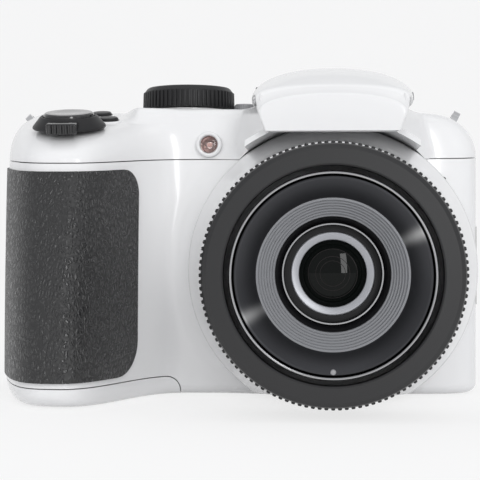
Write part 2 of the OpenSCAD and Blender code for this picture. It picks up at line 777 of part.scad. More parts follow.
// Lens
module lens_ring() {
    root = ring_r - ridge_h;
    color("dimgray")
    union() {
        lens_turn([
            [ring_bore_r, ring_f - 4], [ring_bore_r, ring_f], [root - 1.3, ring_f], [root - 0.3,
                ring_f - 0.8],
            [root, ring_f - 1.6], [root, ring_back_f], [housing_r, ring_back_f], [housing_r - 1,
                ring_back_f + 1],
            [housing_r - 1, ring_f - 7]
        ]);
        translate([0, -ring_back_f - 4, lens_z])
            rotate([90, 0, 0])
                linear_extrude(height = ring_l - 6.2)
                    difference() {
                        ridge_outline(ring_ridges, root - 0.05, ring_r);
                        circle(r = root - 1, $fn = 96);
                    }
    }
}
module lens_housing() {
    color("dimgray")
    difference() {
        union() {
            lens_tube(housing_r, housing_r - housing_wall, plate_f + plate_t, housing_front_f);
            lens_tube(housing_r, 1, plate_f, plate_f + plate_t);
            lens_tube(guide_r, guide_r - guide_wall, plate_f + plate_t - eps, guide_front_f);
            for (a = [35, 145, 310])
                translate([post_d * cos(a), -plate_f - eps, lens_z + post_d * sin(a)])
                    rotate([-90, 0, 0])
                        cylinder(r = post_r, h = plate_f + chassis_y + eps);
        }
        box(-sensor_w / 2 - sensor_gap, sensor_w / 2 + sensor_gap, -plate_f - 5, -plate_f + 1,
            lens_z - sensor_h / 2 - sensor_gap, lens_z + sensor_h / 2 + sensor_gap);
        translate([motor_x, 0, motor_z])
            rotate([90, 0, 0])
                cylinder(r = motor_r + 0.3, h = plate_f + plate_t + 0.2);
        translate([motor_x, -plate_f - plate_t - 0.1, motor_z])
            rotate([90, 0, 0])
                cylinder(r = pitch_pinion + tooth_add + 0.5, h = cam_gear_w + 1.6);
    }
}
module cam_ring() {
    color("silver")
    union() {
        lens_tube(cam_r, barrel_r + slide_gap, cam_back_f, cam_front_f);
        lens_tube(cam_land_r, cam_r - 0.5, cam_front_f - 3, cam_front_f);
        lens_tube(cam_land_r, cam_r - 0.5, cam_back_f + 11, cam_back_f + 14);
        translate([0, -cam_back_f, lens_z])
            rotate([90, 0, 0])
                linear_extrude(height = cam_gear_w)
                    difference() {
                        gear_outline(cam_teeth, pitch_cam, motor_angle + 180 / cam_teeth);
                        circle(r = cam_r - 1, $fn = 96);
                    }
    }
}
module sliding_barrel() {
    color("silver")
    lens_turn([
        [barrel_r - barrel_wall, barrel_back_f], [barrel_r, barrel_back_f], [barrel_r, barrel_f - 0.4],
        [barrel_r - 0.3, barrel_f], [barrel_r - barrel_wall + 0.1, barrel_f], [barrel_r - barrel_wall,
            barrel_f - 0.2]
    ]);
}
module front_barrel() {
    color("dimgray")
    lens_tube(nose_r, nose_r - nose_wall, nose_back_f, nose_f - nose_seat - fit_gap);
}
module nose_cone() {
    color("gray")
    union() {
        lens_turn([
            [nose_r - nose_wall - fit_gap, nose_f - 8], [nose_r - nose_wall - fit_gap, nose_f - nose_seat],
            [nose_r, nose_f - nose_seat], [nose_r, nose_f - nose_rim], [nose_r - nose_rim, nose_f],
            [cone_in_r, nose_f - cone_depth], [cone_in_r, nose_f - cone_depth - 2.4]
        ]);
        translate([0, -nose_f + 0.9, lens_z - nose_r + index_in])
            rotate([90, 0, 0])
                cylinder(r = index_r, h = 1.1);
    }
}
module ribbed_baffle() {
    f0 = nose_f - cone_depth - 0.1;
    dr = (cone_in_r - fit_gap - step_in_r) / step_count;
    df = step_depth / step_count;
    color("silver")
    lens_turn(concat(
        [for (i = [0:step_count - 1]) each [
            [cone_in_r - fit_gap - dr * i, f0 - df * i], [cone_in_r - fit_gap - dr * (i + 1),
                f0 - df * i]]],
        [[step_in_r, f0 - step_depth - 1], [cone_in_r - fit_gap, f0 - step_depth - 1]]
    ));
}
module inner_bezel() {
    f0 = nose_f - cone_depth - 0.1 - step_depth - 1.05;
    color("dimgray")
    lens_turn([
        [cone_in_r - 1.5, f0], [step_in_r, f0], [step_in_r - 0.2, f0 + 0.4], [bezel_r + 0.2, bezel_f - 0.6],
        [bezel_r, bezel_f], [bezel_r - 0.35, bezel_f], [bezel_r - 0.35, bezel_f - 3], [glass_r + 1.9,
            bezel_f - 3],
        [glass_r + 1.9, cell_back_f], [cone_in_r - 1.5, cell_back_f]
    ]);
}
module glass_retainer() {
    color("gray")
    lens_turn([
        [glass_r, glass_f - 0.2], [glass_r + 0.1, glass_f], [glass_r + 1.5, glass_f + 0.6],
        [glass_r + 1.85, glass_f + 0.2], [glass_r + 1.85, glass_f - 1.2], [glass_r, glass_f - 1.2]
    ]);
}
module front_glass() {
    sag = dome_r - sqrt(dome_r * dome_r - glass_r * glass_r);
    color("lightblue")
    intersection() {
        lens_rod(glass_r + 1.8, glass_f - 4.2, glass_f + 2);
        translate([0, -(glass_f - 1.3 - dome_r + sag), lens_z])
            sphere(r = dome_r, $fn = 96);
    }
}
module zoom_group_cell() {
    color("dimgray")
    lens_tube(group_r, zoom_lens_r + fit_gap, zoom_group_f - zoom_cell_l / 2,
        zoom_group_f + zoom_cell_l / 2);
}
module zoom_group_lens() {
    color("lightblue")
    lens_rod(zoom_lens_r, zoom_group_f - zoom_lens_l / 2, zoom_group_f + zoom_lens_l / 2);
}
module focus_group_cell() {
    color("dimgray")
    lens_tube(group_r, focus_lens_r + fit_gap, focus_group_f - focus_cell_l / 2,
        focus_group_f + focus_cell_l / 2);
}
module focus_group_lens() {
    color("lightblue")
    lens_rod(focus_lens_r, focus_group_f - focus_lens_l / 2, focus_group_f + focus_lens_l / 2);
}
module image_sensor() {
    color("darkgreen") {
        box(-sensor_w / 2, sensor_w / 2, -plate_f - sensor_t, -plate_f + 0.1, lens_z - sensor_h / 2,
            lens_z + sensor_h / 2);
        box(-flex_w / 2, flex_w / 2, -plate_f, -plate_f + flex_t, lens_z - flex_h / 2, lens_z + flex_h / 2);
    }
}
module zoom_motor() {
    color("silver") {
        translate([motor_x, chassis_y, motor_z])
            rotate([90, 0, 0])
                cylinder(r = motor_r, h = chassis_y + plate_f + plate_t);
        translate([motor_x, chassis_y, motor_z])
            rotate([90, 0, 0])
                cylinder(r = motor_shaft_r, h = chassis_y + cam_back_f + cam_gear_w + 0.3);
    }
}
module motor_pinion() {
    color("gold")
    translate([motor_x, -cam_back_f, motor_z])
        rotate([90, 0, 0])
            linear_extrude(height = cam_gear_w)
                difference() {
                    gear_outline(pinion_teeth, pitch_pinion, motor_angle + 180);
                    circle(r = motor_shaft_r + fit_gap, $fn = 32);
                }
}

// Chassis and electronics
module chassis() {
    x0 = left_x + 6;
    x1 = lens_side - wall - 0.4;
    color("silver")
    difference() {
        union() {
            box(x0, x1, chassis_y, chassis_y + chassis_t, door_h + 0.7, seam_z - 2.5);
            box(hinge_x - 1.6, hinge_x + 6, arm_front_y, chassis_y + chassis_t, door_h + 0.7, door_h + 1.7);
            box(hinge_x - 1.5, hinge_x + 1.5, arm_front_y, arm_front_y + arm_t, 0.15, door_h + 1);
            box(hinge_x - 1.5, hinge_x + 1.5, chassis_y, chassis_y + chassis_t, 0.15, door_h + 1);
        }
        y_rod(hinge_x, -60, joint_y + 1, door_hinge_z, door_pin_r + pin_fit);
        cylinder(r = bush_r + arm_gap, h = tripod_l + bush_cap + arm_gap);
        box(-15, 15, chassis_y - 1, chassis_y + 2, lens_z - 10, lens_z + 10);
    }
}
module main_board() {
    y0 = chassis_y + chassis_t;
    color("darkgreen") {
        box(pad_x + 19, lens_side - wall - 1.5, y0, y0 + board_t, board_low, board_high);
        box(-chip_w, chip_w / 2, y0 + board_t - 0.05, y0 + board_t + chip_h, lens_z - chip_w / 2,
            lens_z + chip_w);
        box(chip_w, 2 * chip_w, y0 + board_t - 0.05, y0 + board_t + chip_h, board_low + chip_w / 2,
            board_low + chip_w * 1.6);
    }
}
module battery_holder() {
    color("dimgray")
    difference() {
        box(pack_x - pack_w / 2 - pack_gap - pack_wall, pack_x + pack_w / 2 + pack_gap + pack_wall,
            chassis_y - pack_d - 2 * pack_gap - 2 * pack_wall, chassis_y, pack_z,
                pack_z + pack_h + pack_gap + pack_wall);
        box(pack_x - pack_w / 2 - pack_gap, pack_x + pack_w / 2 + pack_gap,
            chassis_y - pack_d - 2 * pack_gap - pack_wall, chassis_y - pack_wall, pack_z - 1,
                pack_z + pack_h + pack_gap);
    }
}
module battery_pack() {
    color("gray")
    box(pack_x - pack_w / 2, pack_x + pack_w / 2, chassis_y - pack_d - pack_gap - pack_wall,
        chassis_y - pack_gap - pack_wall, pack_z + 0.2, pack_z + pack_h);
}
module card_slot() {
    color("silver")
    difference() {
        box(card_x - card_t / 2 - 1, card_x + card_t / 2 + 1, chassis_y - card_w - 2, chassis_y, pack_z + 5,
            pack_z + card_h + 2);
        box(card_x - card_t / 2 - 0.15, card_x + card_t / 2 + 0.15, chassis_y - card_w - 1.2,
            chassis_y - 0.9,
            pack_z - 1, pack_z + card_h + 1);
    }
}
module memory_card() {
    color("navy")
    box(card_x - card_t / 2, card_x + card_t / 2, chassis_y - card_w - 1, chassis_y - 1, pack_z + 0.4,
        pack_z + card_h + 0.8);
}
module flash_capacitor() {
    color("black")
    x_rod(cap_x, cap_x + cap_l, chassis_y - cap_r - cap_gap, seam_z + 1.1, cap_r);
}

// Flash
function arch(hw, z0, z1) = [for (i = [0:24])
    let (t = 180 * i / 24, c = cos(t), s = sin(t))
    [hw * sign_of(c) * pow(abs(c), 2 / flash_arch), z0 + (z1 - z0) * pow(s, 2 / flash_arch)]];
module arch_slice(y, hw, z0, z1) {
    translate([0, y + 0.005, 0])
        rotate([90, 0, 0])
            linear_extrude(height = 0.01)
                polygon(arch(hw, z0, z1));
}
module brow_slice(y, hw, z) {
    box(-hw, hw, y, y + 0.01, z, z + 0.01);
}
module flash_form(t) {
    b = flash_base_z - 2 * t;
    top = flash_base_z + flash_h;
    hull() {
        brow_slice(brow_y + t, 15.8 - t, brow_z + t);
        brow_slice(brow_y + 0.9 + t, 18.7 - t, brow_z + 4.2);
        arch_slice(brow_y + 3.2 + t, 17 - t, brow_z + 5, flash_base_z + 2.1 - t);
        arch_slice(brow_y + 6 + t, flash_half - 1.4 - t, b, flash_base_z + 4 - t);
        arch_slice(brow_y + 11 + t * 0.8, flash_half - 0.4 - t, b, flash_base_z + 6.4 - t);
        arch_slice(brow_y + 18, flash_half - t, b, top - 0.9 - t);
        arch_slice(brow_y + 26, flash_half - t, b, top - t);
        arch_slice(brow_y + 35, flash_half - 0.9 - t, b, top - 0.5 - t);
        arch_slice(flash_hinge_y - 4, flash_half - 3.2 - t, b, top - 2.2 - t);
        arch_slice(flash_hinge_y, trough_half - 0.5 - t, b, flash_base_z + 5.6 - t);
        arch_slice(flash_hinge_y + 2.4 - t * 0.5, trough_half - 0.9 - t, b, flash_base_z + 4.1 - t);
        arch_slice(flash_hinge_y + rear_r - t, trough_half - 1.2 - t, b, flash_base_z + 0.02);
    }
}
module flash_head() {
    color("white")
    difference() {
        union() {
            difference() {
                flash_form(0);
                flash_form(flash_wall);
                box(-40, 40, brow_y + lip_t, 40, 0, flash_base_z);
            }
            for (k = [-1, 1])
                intersection() {
                    union() {
                        x_rod(k * lug_x - (k < 0 ? lug_t : 0), k * lug_x + (k > 0 ? lug_t : 0),
                            flash_hinge_y,
                            flash_base_z, 2.2);
                        box(k * lug_x - (k < 0 ? lug_t : 0), k * lug_x + (k > 0 ? lug_t : 0),
                            flash_hinge_y - 2.2,
                            flash_hinge_y + 1.2, flash_base_z, flash_base_z + 5.2);
                    }
                    box(-40, 40, -20, 20, 0, flash_base_z + 3.6);
                }
        }
        x_rod(-16, 16, flash_hinge_y, flash_base_z, flash_pin_r + 0.07);
    }
}
module flash_floor() {
    color("dimgray")
    difference() {
        intersection() {
            flash_form(flash_wall + floor_gap);
            box(-flash_half, flash_half, brow_y + floor_back, flash_hinge_y - 8, flash_base_z + 0.2,
                flash_base_z + 0.2 + floor_t);
        }
        box(-window_w / 2 - 0.1, window_w / 2 + 0.1, window_y - window_d / 2 - 0.1,
            window_y + window_d / 2 + 0.1,
            flash_base_z - 1, flash_base_z + 3);
    }
}
module flash_window() {
    color("lightgray")
    box(-window_w / 2, window_w / 2, window_y - window_d / 2, window_y + window_d / 2, flash_base_z + 0.15,
        flash_base_z + 1.7);
}
module flash_reflector() {
    color("silver")
    difference() {
        box(-11, 11, window_y - 3.4, window_y + 3.4, flash_base_z + 1.75, flash_base_z + 4.6);
        x_rod(-10.4, 10.4, window_y, flash_base_z + 1.4, 2.8);
    }
}
module flash_tube() {
    color("lightyellow")
    x_rod(-10.38, 10.38, window_y, flash_base_z + 3.1, 1);
}
module flash_bracket() {
    low = flash_base_z - rear_r - 1.6;
    color("silver")
    difference() {
        union() {
            box(-trough_half - 2.4, trough_half + 2.4, flash_hinge_y - 3, flash_hinge_y + 3, low, low + 1);
            for (k = [-1, 1]) {
                translate([k > 0 ? trough_half + 0.8 : -trough_half - 2.4, 0, 0])
                    box(0, 1.6, flash_hinge_y - 3, flash_hinge_y + 3, low,
                        deck_at(lens_side) - wall - 0.55);
                x_rod(k > 0 ? ear_x : -ear_x - ear_t, k > 0 ? ear_x + ear_t : -ear_x, flash_hinge_y,
                    flash_base_z, ear_r);
                translate([k > 0 ? ear_x : -ear_x - ear_t, 0, 0])
                    box(0, ear_t, flash_hinge_y - 1.2, flash_hinge_y + 1.2, low, flash_base_z);
            }
        }
        x_rod(-16, 16, flash_hinge_y, flash_base_z, flash_pin_r + 0.03);
    }
}
module flash_hinge_pins() {
    color("silver")
    for (k = [-1, 1])
        x_rod(k > 0 ? ear_x - 0.4 : -lug_x - lug_t - 0.2, k > 0 ? lug_x + lug_t + 0.2 : 0.4 - ear_x,
            flash_hinge_y,
            flash_base_z, flash_pin_r);
}

// Top controls
module shutter_button() {
    h0 = hub_h + shutter_travel + 0.2;
    color("black")
    at_top(shutter_x, shutter_y) {
        translate([0, 0, h0])
            rotate_extrude()
                polygon([[0, 0], [shutter_r, 0], [shutter_r, 0.9], [shutter_r - 0.5, 1.4],
                    [shutter_r - 2, 1.35],
                    [0, 1.1]]);
        translate([0, 0, -5])
            cylinder(r = stem_r, h = h0 + 5.1);
    }
}
module zoom_lever() {
    color("black")
    at_top(shutter_x, shutter_y)
        union() {
            rotate_extrude()
                polygon([[hub_r + lever_fit, lever_gap + 0.1], [lever_r, lever_gap + 0.1], [lever_r,
                    lever_gap + 0.5],
                    [shutter_r + 0.8, lever_top_h], [shutter_r + 0.2, lever_top_h], [shutter_r + 0.2,
                        hub_h],
                    [hub_r + lever_fit, hub_h]]);
            translate([-lever_tab_w / 2, -lever_r - lever_tab_out, lever_gap + 0.1])
                cube([lever_tab_w, lever_tab_out + 1.5, 2.3]);
        }
}
module mode_dial() {
    color("black")
    translate([dial_x, dial_y, dial_base_z])
        union() {
            linear_extrude(height = dial_h - 1.3)
                ridge_outline(dial_ribs, dial_r - 0.45, dial_r);
            translate([0, 0, dial_h - 1.35])
                rotate_extrude($fn = 96)
                    polygon([[0, 0], [dial_r - 0.4, 0], [dial_r - 1.1, 1], [dial_r - 1.9, 1.35], [0,
                        1.35]]);
            translate([0, 0, -5])
                cylinder(r = hub_r, h = 5.1);
        }
}
module power_button() {
    z0 = deck_at(power_x) - wall;
    color("silver")
    translate([power_x, power_y, 0]) {
        translate([0, 0, z0 - 1.3])
            cylinder(r = power_r + key_flange, h = 1);
        translate([0, 0, z0 - 0.6])
            cylinder(r = power_r, h = wall + 2.7);
    }
}
module lean_key(x, y) {
    at_top(x, y) {
        translate([0, 0, -4])
            cylinder(r = top_key_r, h = 5.1);
        translate([0, 0, -4.6])
            cylinder(r = top_key_r + key_flange, h = 0.8);
    }
}
module drive_button() {
    color("black")
    lean_key(drive_x, drive_y);
}
module exposure_button() {
    color("black")
    lean_key(exposure_x, exposure_y);
}
module lamp_bezel() {
    y0 = -front_depth - lamp_stand;
    color("white")
    translate([lamp_x, y0, lamp_z])
        rotate([-90, 0, 0])
            rotate_extrude()
                polygon([[lamp_r, 0.6], [lamp_r + 0.25, 0.1], [lamp_bezel_r - 0.5, 0], [lamp_bezel_r, 0.5],
                    [lamp_bezel_r, lamp_stand + 1.25], [lamp_r + 0.3, lamp_stand + 1.25], [lamp_r + 0.3,
                        lamp_stand + 4],
                    [lamp_r, lamp_stand + 4]]);
}
module focus_lamp() {
    color("orange")
    y_rod(lamp_x, -front_depth - lamp_stand + 0.9, -front_depth + 3.6, lamp_z, lamp_r - fit_gap);
}

// Back
KEYS = [
    [pad_x, pad_z, pad_r], [pad_x - 10, pad_z - 17, key_r], [pad_x + 9, pad_z - 17, key_r],
    [pad_x + 9, pad_z + 21, key_r]
];
module rear_key(p, rise, drop) {
    y_rod(p[0], back_in_y - key_flange_t - drop, back_depth + key_stand + rise, p[1], p[2]);
    y_rod(p[0], back_in_y - key_flange_t - drop, back_in_y - drop, p[1], p[2] + key_flange);
}
module menu_key() {
    color("gray")
    rear_key(KEYS[1], 0, 0.3);
}
module play_key() {
    color("gray")
    rear_key(KEYS[2], 0, 0.3);
}
module record_key() {
    color("red")
    rear_key(KEYS[3], 0, 0.3);
}
module four_way_pad() {
    color("gray")
    difference() {
        rear_key(KEYS[0], 0.2, 0.8);
        y_rod(pad_x, back_in_y - 4, back_depth + 4, pad_z, ok_r + key_gap);
    }
}
module ok_key() {
    color("silver") {
        y_rod(pad_x, back_in_y - 2.8, back_depth + key_stand + 0.5, pad_z, ok_r);
        y_rod(pad_x, back_in_y - 2.8, back_in_y - 2, pad_z, ok_r + key_flange);
    }
}
module key_board() {
    color("darkgreen") {
        box(left_x + 6, pad_x + 14, keyboard_y - board_t - 0.5, keyboard_y - 0.5, board_low, board_high);
        for (p = [[left_x + 9, board_low + 4], [pad_x + 11, board_low + 4], [left_x + 9, board_high - 4]])
            y_rod(p[0], chassis_y + chassis_t, keyboard_y - board_t - 0.45, p[1], standoff_r);
    }
}
module screen_panel() {
    color("black")
    box(screen_x - screen_w / 2 - 1, screen_x + screen_w / 2 + 1, back_in_y - panel_gap - panel_t,
        back_in_y - panel_gap,
        screen_z - screen_h / 2 - 1, screen_z + screen_h / 2 + 1);
}
module screen_window() {
    color("gray")
    box(screen_x - screen_w / 2 + 0.1, screen_x + screen_w / 2 - 0.1, back_in_y - 0.1, back_depth + 0.2,
        screen_z - screen_h / 2 + 0.1, screen_z + screen_h / 2 - 0.1);
}

// Sides and base
module socket_zone(extra) {
    for (z = [flap_z - 4.5, flap_z + 4.5])
        box(lens_side - 8 - extra, lens_side, chassis_y - 3 - extra, chassis_y + extra, z - 3.6 - extra,
            z + 3.6 + extra);
}
module port_sockets() {
    color("silver")
    difference() {
        for (z = [flap_z - 4.5, flap_z + 4.5])
            box(lens_side - 8, flap_x - flap_t / 2 - 0.3, chassis_y - 3, chassis_y, z - 3.6, z + 3.6);
        for (z = [flap_z - 4.5, flap_z + 4.5])
            box(lens_side - 6.5, lens_side, chassis_y - 2.6, chassis_y - 0.8, z - 3, z + 3);
    }
}
module port_flap() {
    color("gray")
    union() {
        box(flap_x - flap_t / 2, flap_x + flap_t / 2, flap_y0, flap_y1, flap_z - flap_h / 2,
            flap_z + flap_h / 2);
        translate([flap_x, flap_y1, flap_z - flap_h / 2])
            cylinder(r = flap_t / 2, h = flap_h);
    }
}
module lug() {
    translate([0, 0, -lug_root])
        rotate([0, 90, 0])
            translate([0, 0, -lug_t_plate / 2])
                linear_extrude(height = lug_t_plate)
                    difference() {
                        union() {
                            translate([-lug_root - lug_h + 2, -lug_w / 2])
                                square([lug_root + lug_h - 2, lug_w]);
                            translate([-lug_root - lug_h + lug_w / 2, 0])
                                intersection() {
                                    circle(d = lug_w);
                                    translate([-lug_w / 2, -lug_w / 2])
                                        square([lug_w / 2, lug_w]);
                                }
                        }
                        translate([-lug_root - lug_h + lug_hole_r + 0.9, 0])
                            circle(r = lug_hole_r);
                    }
}
function lug_spot(angle, k) =
    let (x = mid_x + k * (half_w - shoulder_in(sin(angle))), low = seam_at(joint_y) + seam_gap)
    [x, joint_y - lug_back, low + (deck_at(x) - low) * sin(angle)];
module strap_lugs() {
    color("silver") {
        translate(lug_spot(lug_angle_left, -1))
            rotate([0, lug_angle_left - 90, 0])
                lug();
        translate(lug_spot(lug_angle_right, 1))
            rotate([0, 90 - lug_angle_right, 0])
                lug();
    }
}
module tripod_bush() {
    color("silver")
    difference() {
        cylinder(r = bush_r, h = tripod_l + bush_cap);
        translate([0, 0, -1])
            cylinder(r = tripod_r, h = tripod_l + 1);
    }
}
module case_screws() {
    color("silver")
    for (p = SCREWS)
        translate([p[0], p[1], 0])
            difference() {
                union() {
                    translate([0, 0, 0.15])
                        cylinder(r = screw_head_r, h = 0.75);
                    translate([0, 0, 0.8])
                        cylinder(r = screw_r, h = 3.8);
                }
                translate([-1, -0.25, -1])
                    cube([2, 0.5, 1.6]);
                translate([-0.25, -1, -1])
                    cube([0.5, 2, 1.6]);
            }
}

front_cover();
rear_cover();
top_cover();
grip_pad();
battery_door();
battery_latch();
door_hinge_pin();
lens_ring();
lens_housing();
cam_ring();
sliding_barrel();
front_barrel();
nose_cone();
ribbed_baffle();
inner_bezel();
glass_retainer();
front_glass();
zoom_group_cell();
zoom_group_lens();
focus_group_cell();
focus_group_lens();
image_sensor();
zoom_motor();
motor_pinion();
chassis();
main_board();
battery_holder();
battery_pack();
card_slot();
memory_card();
flash_capacitor();
flash_head();
flash_floor();
flash_window();
flash_reflector();
flash_tube();
flash_bracket();
flash_hinge_pins();
shutter_button();
zoom_lever();
mode_dial();
power_button();
drive_button();
exposure_button();
focus_lamp();
lamp_bezel();
screen_panel();
screen_window();
key_board();
record_key();
menu_key();
play_key();
four_way_pad();
ok_key();
port_flap();
port_sockets();
strap_lugs();
tripod_bush();
case_screws();
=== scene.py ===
"""Bridge camera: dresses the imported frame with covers, a leather-grained grip, lens, flash and controls."""

import json
import logging
import math
from dataclasses import dataclass, field
from enum import Enum
from typing import Callable, Sequence

import bmesh
import bpy
from mathutils import Matrix, Vector


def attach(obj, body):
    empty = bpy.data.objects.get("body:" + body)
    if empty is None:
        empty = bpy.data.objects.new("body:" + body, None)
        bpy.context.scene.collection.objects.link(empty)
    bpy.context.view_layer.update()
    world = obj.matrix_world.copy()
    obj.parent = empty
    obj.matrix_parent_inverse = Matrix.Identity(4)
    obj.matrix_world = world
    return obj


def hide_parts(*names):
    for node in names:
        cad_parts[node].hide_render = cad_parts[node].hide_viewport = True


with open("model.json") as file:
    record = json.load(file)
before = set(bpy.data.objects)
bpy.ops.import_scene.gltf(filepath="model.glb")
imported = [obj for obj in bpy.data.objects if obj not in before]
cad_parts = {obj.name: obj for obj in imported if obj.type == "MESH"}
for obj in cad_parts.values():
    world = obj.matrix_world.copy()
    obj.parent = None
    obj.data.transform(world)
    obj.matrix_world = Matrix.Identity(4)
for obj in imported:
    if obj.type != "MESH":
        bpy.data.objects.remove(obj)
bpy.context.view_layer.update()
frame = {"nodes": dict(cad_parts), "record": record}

LOG = logging.getLogger("bridge_camera")
MM = 0.001
# Line through the lens axis along which a highlight streak is painted on turned metal, and how narrow the
# streak is.
PAINTED_STREAK_ANGLE = math.radians(25.85)
PAINTED_STREAK_POWER = 420.0

Profile = Sequence[tuple[float, float]]
Rule = Callable[[float, float], tuple[float, float, float]]
Colour = tuple[float, float, float]


class Slot(Enum):
    """Material slots of the record."""

    WHITE = "white_shell"
    LEATHER = "grip_leather"
    BLACK = "black_plastic"
    GLOSS_BLACK = "gloss_black"
    RING = "ring_grey"
    NOSE = "nose_metal"
    GREY_METAL = "grey_metal"
    BRIGHT = "bright_metal"
    GLASS = "lens_glass"
    LAMP = "lamp_lens"
    SCREEN = "screen_glass"
    CLEAR = "flash_clear"
    STEEL = "steel"
    BRASS = "brass"
    BOARD = "board_green"
    RUBBER = "port_rubber"
    RED = "record_red"
    PACK = "pack_grey"


class Shell(Enum):
    """The two halves of the lower body."""

    FRONT = "front"
    REAR = "rear"


class Op(Enum):
    """Ways that a tool shape works on a piece."""

    CUT = "DIFFERENCE"
    KEEP = "INTERSECT"


def clamp01(v: float) -> float:
    """Limits a value to 0..1."""
    return min(1.0, max(0.0, v))


def smooth(v: float) -> float:
    """Smooth step from 0 to 1."""
    c = clamp01(v)
    return c * c * (3 - 2 * c)


def lerp(a: float, b: float, t: float) -> float:
    """Straight blend of two values."""
    return a + (b - a) * t


class Paint:
    """Small wrapper round a node tree."""

    def __init__(self, tree: bpy.types.NodeTree) -> None:
        """Keeps the tree that nodes are added to."""
        self.tree = tree

    def add(self, kind: str, **settings: object) -> bpy.types.Node:
        """Adds a node and sets its properties and sockets.

        Args:
            kind: Blender's node type.
            settings: Properties by name, or socket values as in_NAME with spaces as underscores.

        Returns:
            The new node.
        """
        node = self.tree.nodes.new(kind)
        for key, value in settings.items():
            if key.startswith("in_"):
                node.inputs[key[3:].replace("_", " ")].default_value = value
            else:
                setattr(node, key, value)
        return node

    def link(self, a: bpy.types.NodeSocket, b: bpy.types.NodeSocket) -> None:
        """Joins two sockets."""
        self.tree.links.new(a, b)

    def math(self, kind: str, a: object, b: object = 0.0) -> bpy.types.NodeSocket:
        """Adds a Math node.

        Args:
            kind: The operation.
            a: A socket or a number.
            b: A socket or a number.

        Returns:
            The node's output.
        """
        node = self.tree.nodes.new("ShaderNodeMath")
        node.operation = kind
        for i, value in enumerate((a, b)):
            if isinstance(value, bpy.types.NodeSocket):
                self.link(value, node.inputs[i])
            else:
                node.inputs[i].default_value = value
        return node.outputs[0]


